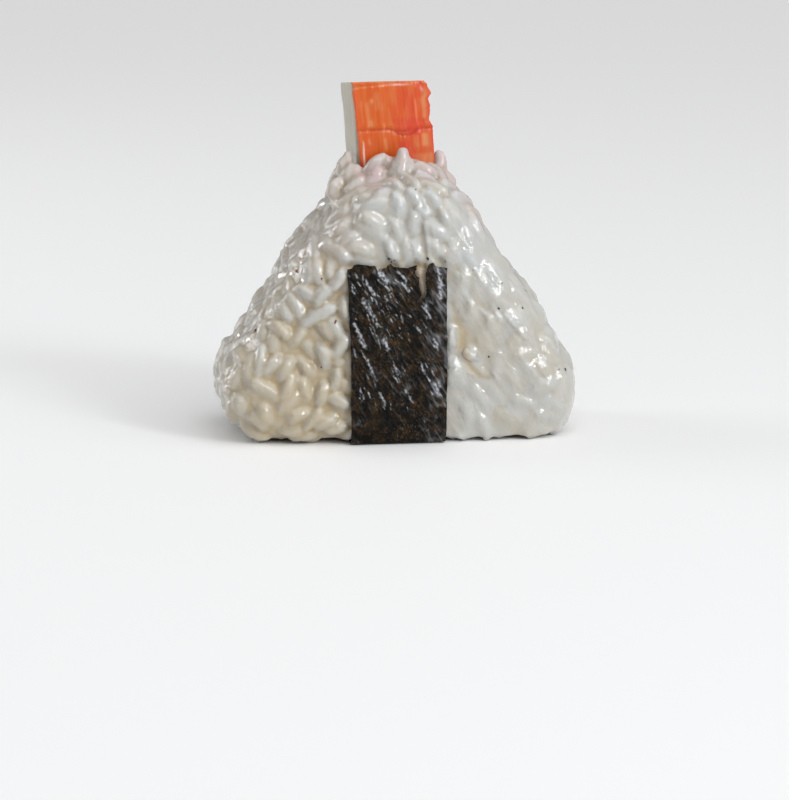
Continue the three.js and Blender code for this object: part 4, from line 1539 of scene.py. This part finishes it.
def skinMaterial():
    material, tree, shader = newMaterial("crabStickSkin", skinFinish)
    tint = painted(tree)
    paler, redder, darker = channels(tree, tint["Color"])
    strands = clouds(tree, 1500, 6, 0.65, placed(tree, (1, 0.4, 0.05)))
    cloud = clouds(tree, 500, 4, 0.6, placed(tree, (1, 0.5, 0.4)))
    pale = added(tree, paler, ramp(tree, strands, [(0.45, 0.0), (0.75, 0.16)]))
    pale = multiplied(tree, pale, ramp(tree, cloud, [(0.3, 0.55), (0.65, 1.0)]))
    colour = stickColours["orange"]
    # redder and paler streaks, painted shade in the folds, and painted highlights
    for share, key in ((redder, "red"), (pale, "peach"), (darker, "dark"), (tint["Alpha"], "gleam")):
        colour = blended(tree, share, colour, stickColours[key])
    tree.links.new(colour, shader.inputs["Base Color"])
    bumped(tree, shader, strands, 0.14, 0.6)
    return material


halfWidth, frontY = stick["width"] / 2, -stick["depth"] / 2
levels = np.linspace(stick["bottom"], stick["top"], stick["levels"])
ring = roundedRing(-halfWidth, halfWidth, frontY, -frontY, stick["corner"], 6, 40)
points, faces, own = column(ring, levels, fleshForm)
# the top face, which takes the paler colour
cutEnd = rise(own[:, 2], stick["top"] - 0.002, 0.001)
addPiece("crabFlesh", points, faces, fleshMaterial(), ("crab_stick_flesh",), tint=grey(cutEnd))
aside, face = skin["aside"], frontY - skin["proud"] - skin["thickness"]
ring = roundedRing(aside - halfWidth, aside + halfWidth, face, frontY - skin["gap"], skin["corner"], 4, 90)
points, faces, own = column(ring, levels, skinForm)
addPiece("crabSkin", points, faces, skinMaterial(), ("crab_stick_skin",), tint=skinTint(own))
print("crab stick done")


# table and light

studio = {
    "floor": (0.9, 0.9, 0.9),
    "floorSize": 6.0,    # metres either way
    "sky": 0.34,
    "key": 1.8,
    "keyAngle": 80,      # how soft it is, in degrees
    "window": 3.9,
    "back": 2.2,
    "glint": 0.8,
    "cool": (0.94, 0.97, 1),
}


def studioFloor():
    size = studio["floorSize"]
    mesh = bpy.data.meshes.new("floor")
    mesh.from_pydata([(x, y, 0.0) for y in (-size, size) for x in (-size, size)], [], gridFaces(2, 2))
    mesh.materials.append(newMaterial("paleFloor", {"Base Color": (*studio["floor"], 1), "Roughness": 0.7})[0])
    floor = bpy.data.objects.new("floor", mesh)
    bpy.context.scene.collection.objects.link(floor)


def lamp(name, kind, power, place, **settings):
    data = bpy.data.lights.new(name, kind)
    data.energy = power
    for key, value in settings.items():
        setattr(data, key, value)
    light = bpy.data.objects.new(name, data)
    light.location = place
    light.rotation_euler = (Vector((0, 0, 0.03)) - Vector(place)).to_track_quat("-Z", "Y").to_euler()
    bpy.context.scene.collection.objects.link(light)
    return light


studioFloor()
cool = studio["cool"]
lamp("key", "SUN", studio["key"], (0.35, -0.62, 1.0), angle=math.radians(studio["keyAngle"]))
tall = {"shape": "RECTANGLE", "size": 0.11, "size_y": 0.5}
lamp("window", "AREA", studio["window"], (0.58, -0.75, 0.42), color=cool, **tall)
lamp("back", "AREA", studio["back"], (-0.85, 0.32, 0.34), size=0.5, color=cool)
# small lamps behind that only show as glints in the wet film
glints = ((-0.92, 0.1, 0.39), (-0.85, 0.32, 0.34), (-0.75, 0.55, 0.32), (-0.7, 0.3, 0.65), (-0.8, 0.5, 0.12))
for i, place in enumerate(glints):
    lamp("glint" + str(i + 1), "AREA", studio["glint"], place, size=0.02, color=cool).visible_diffuse = False
world = bpy.data.worlds.new("softLight")
world.use_nodes = True
background = world.node_tree.nodes["Background"]
background.inputs["Color"].default_value = (1, 1, 1, 1)
background.inputs["Strength"].default_value = studio["sky"]
bpy.context.scene.world = world
bpy.context.scene.view_settings.view_transform = "Standard"
print("light done")
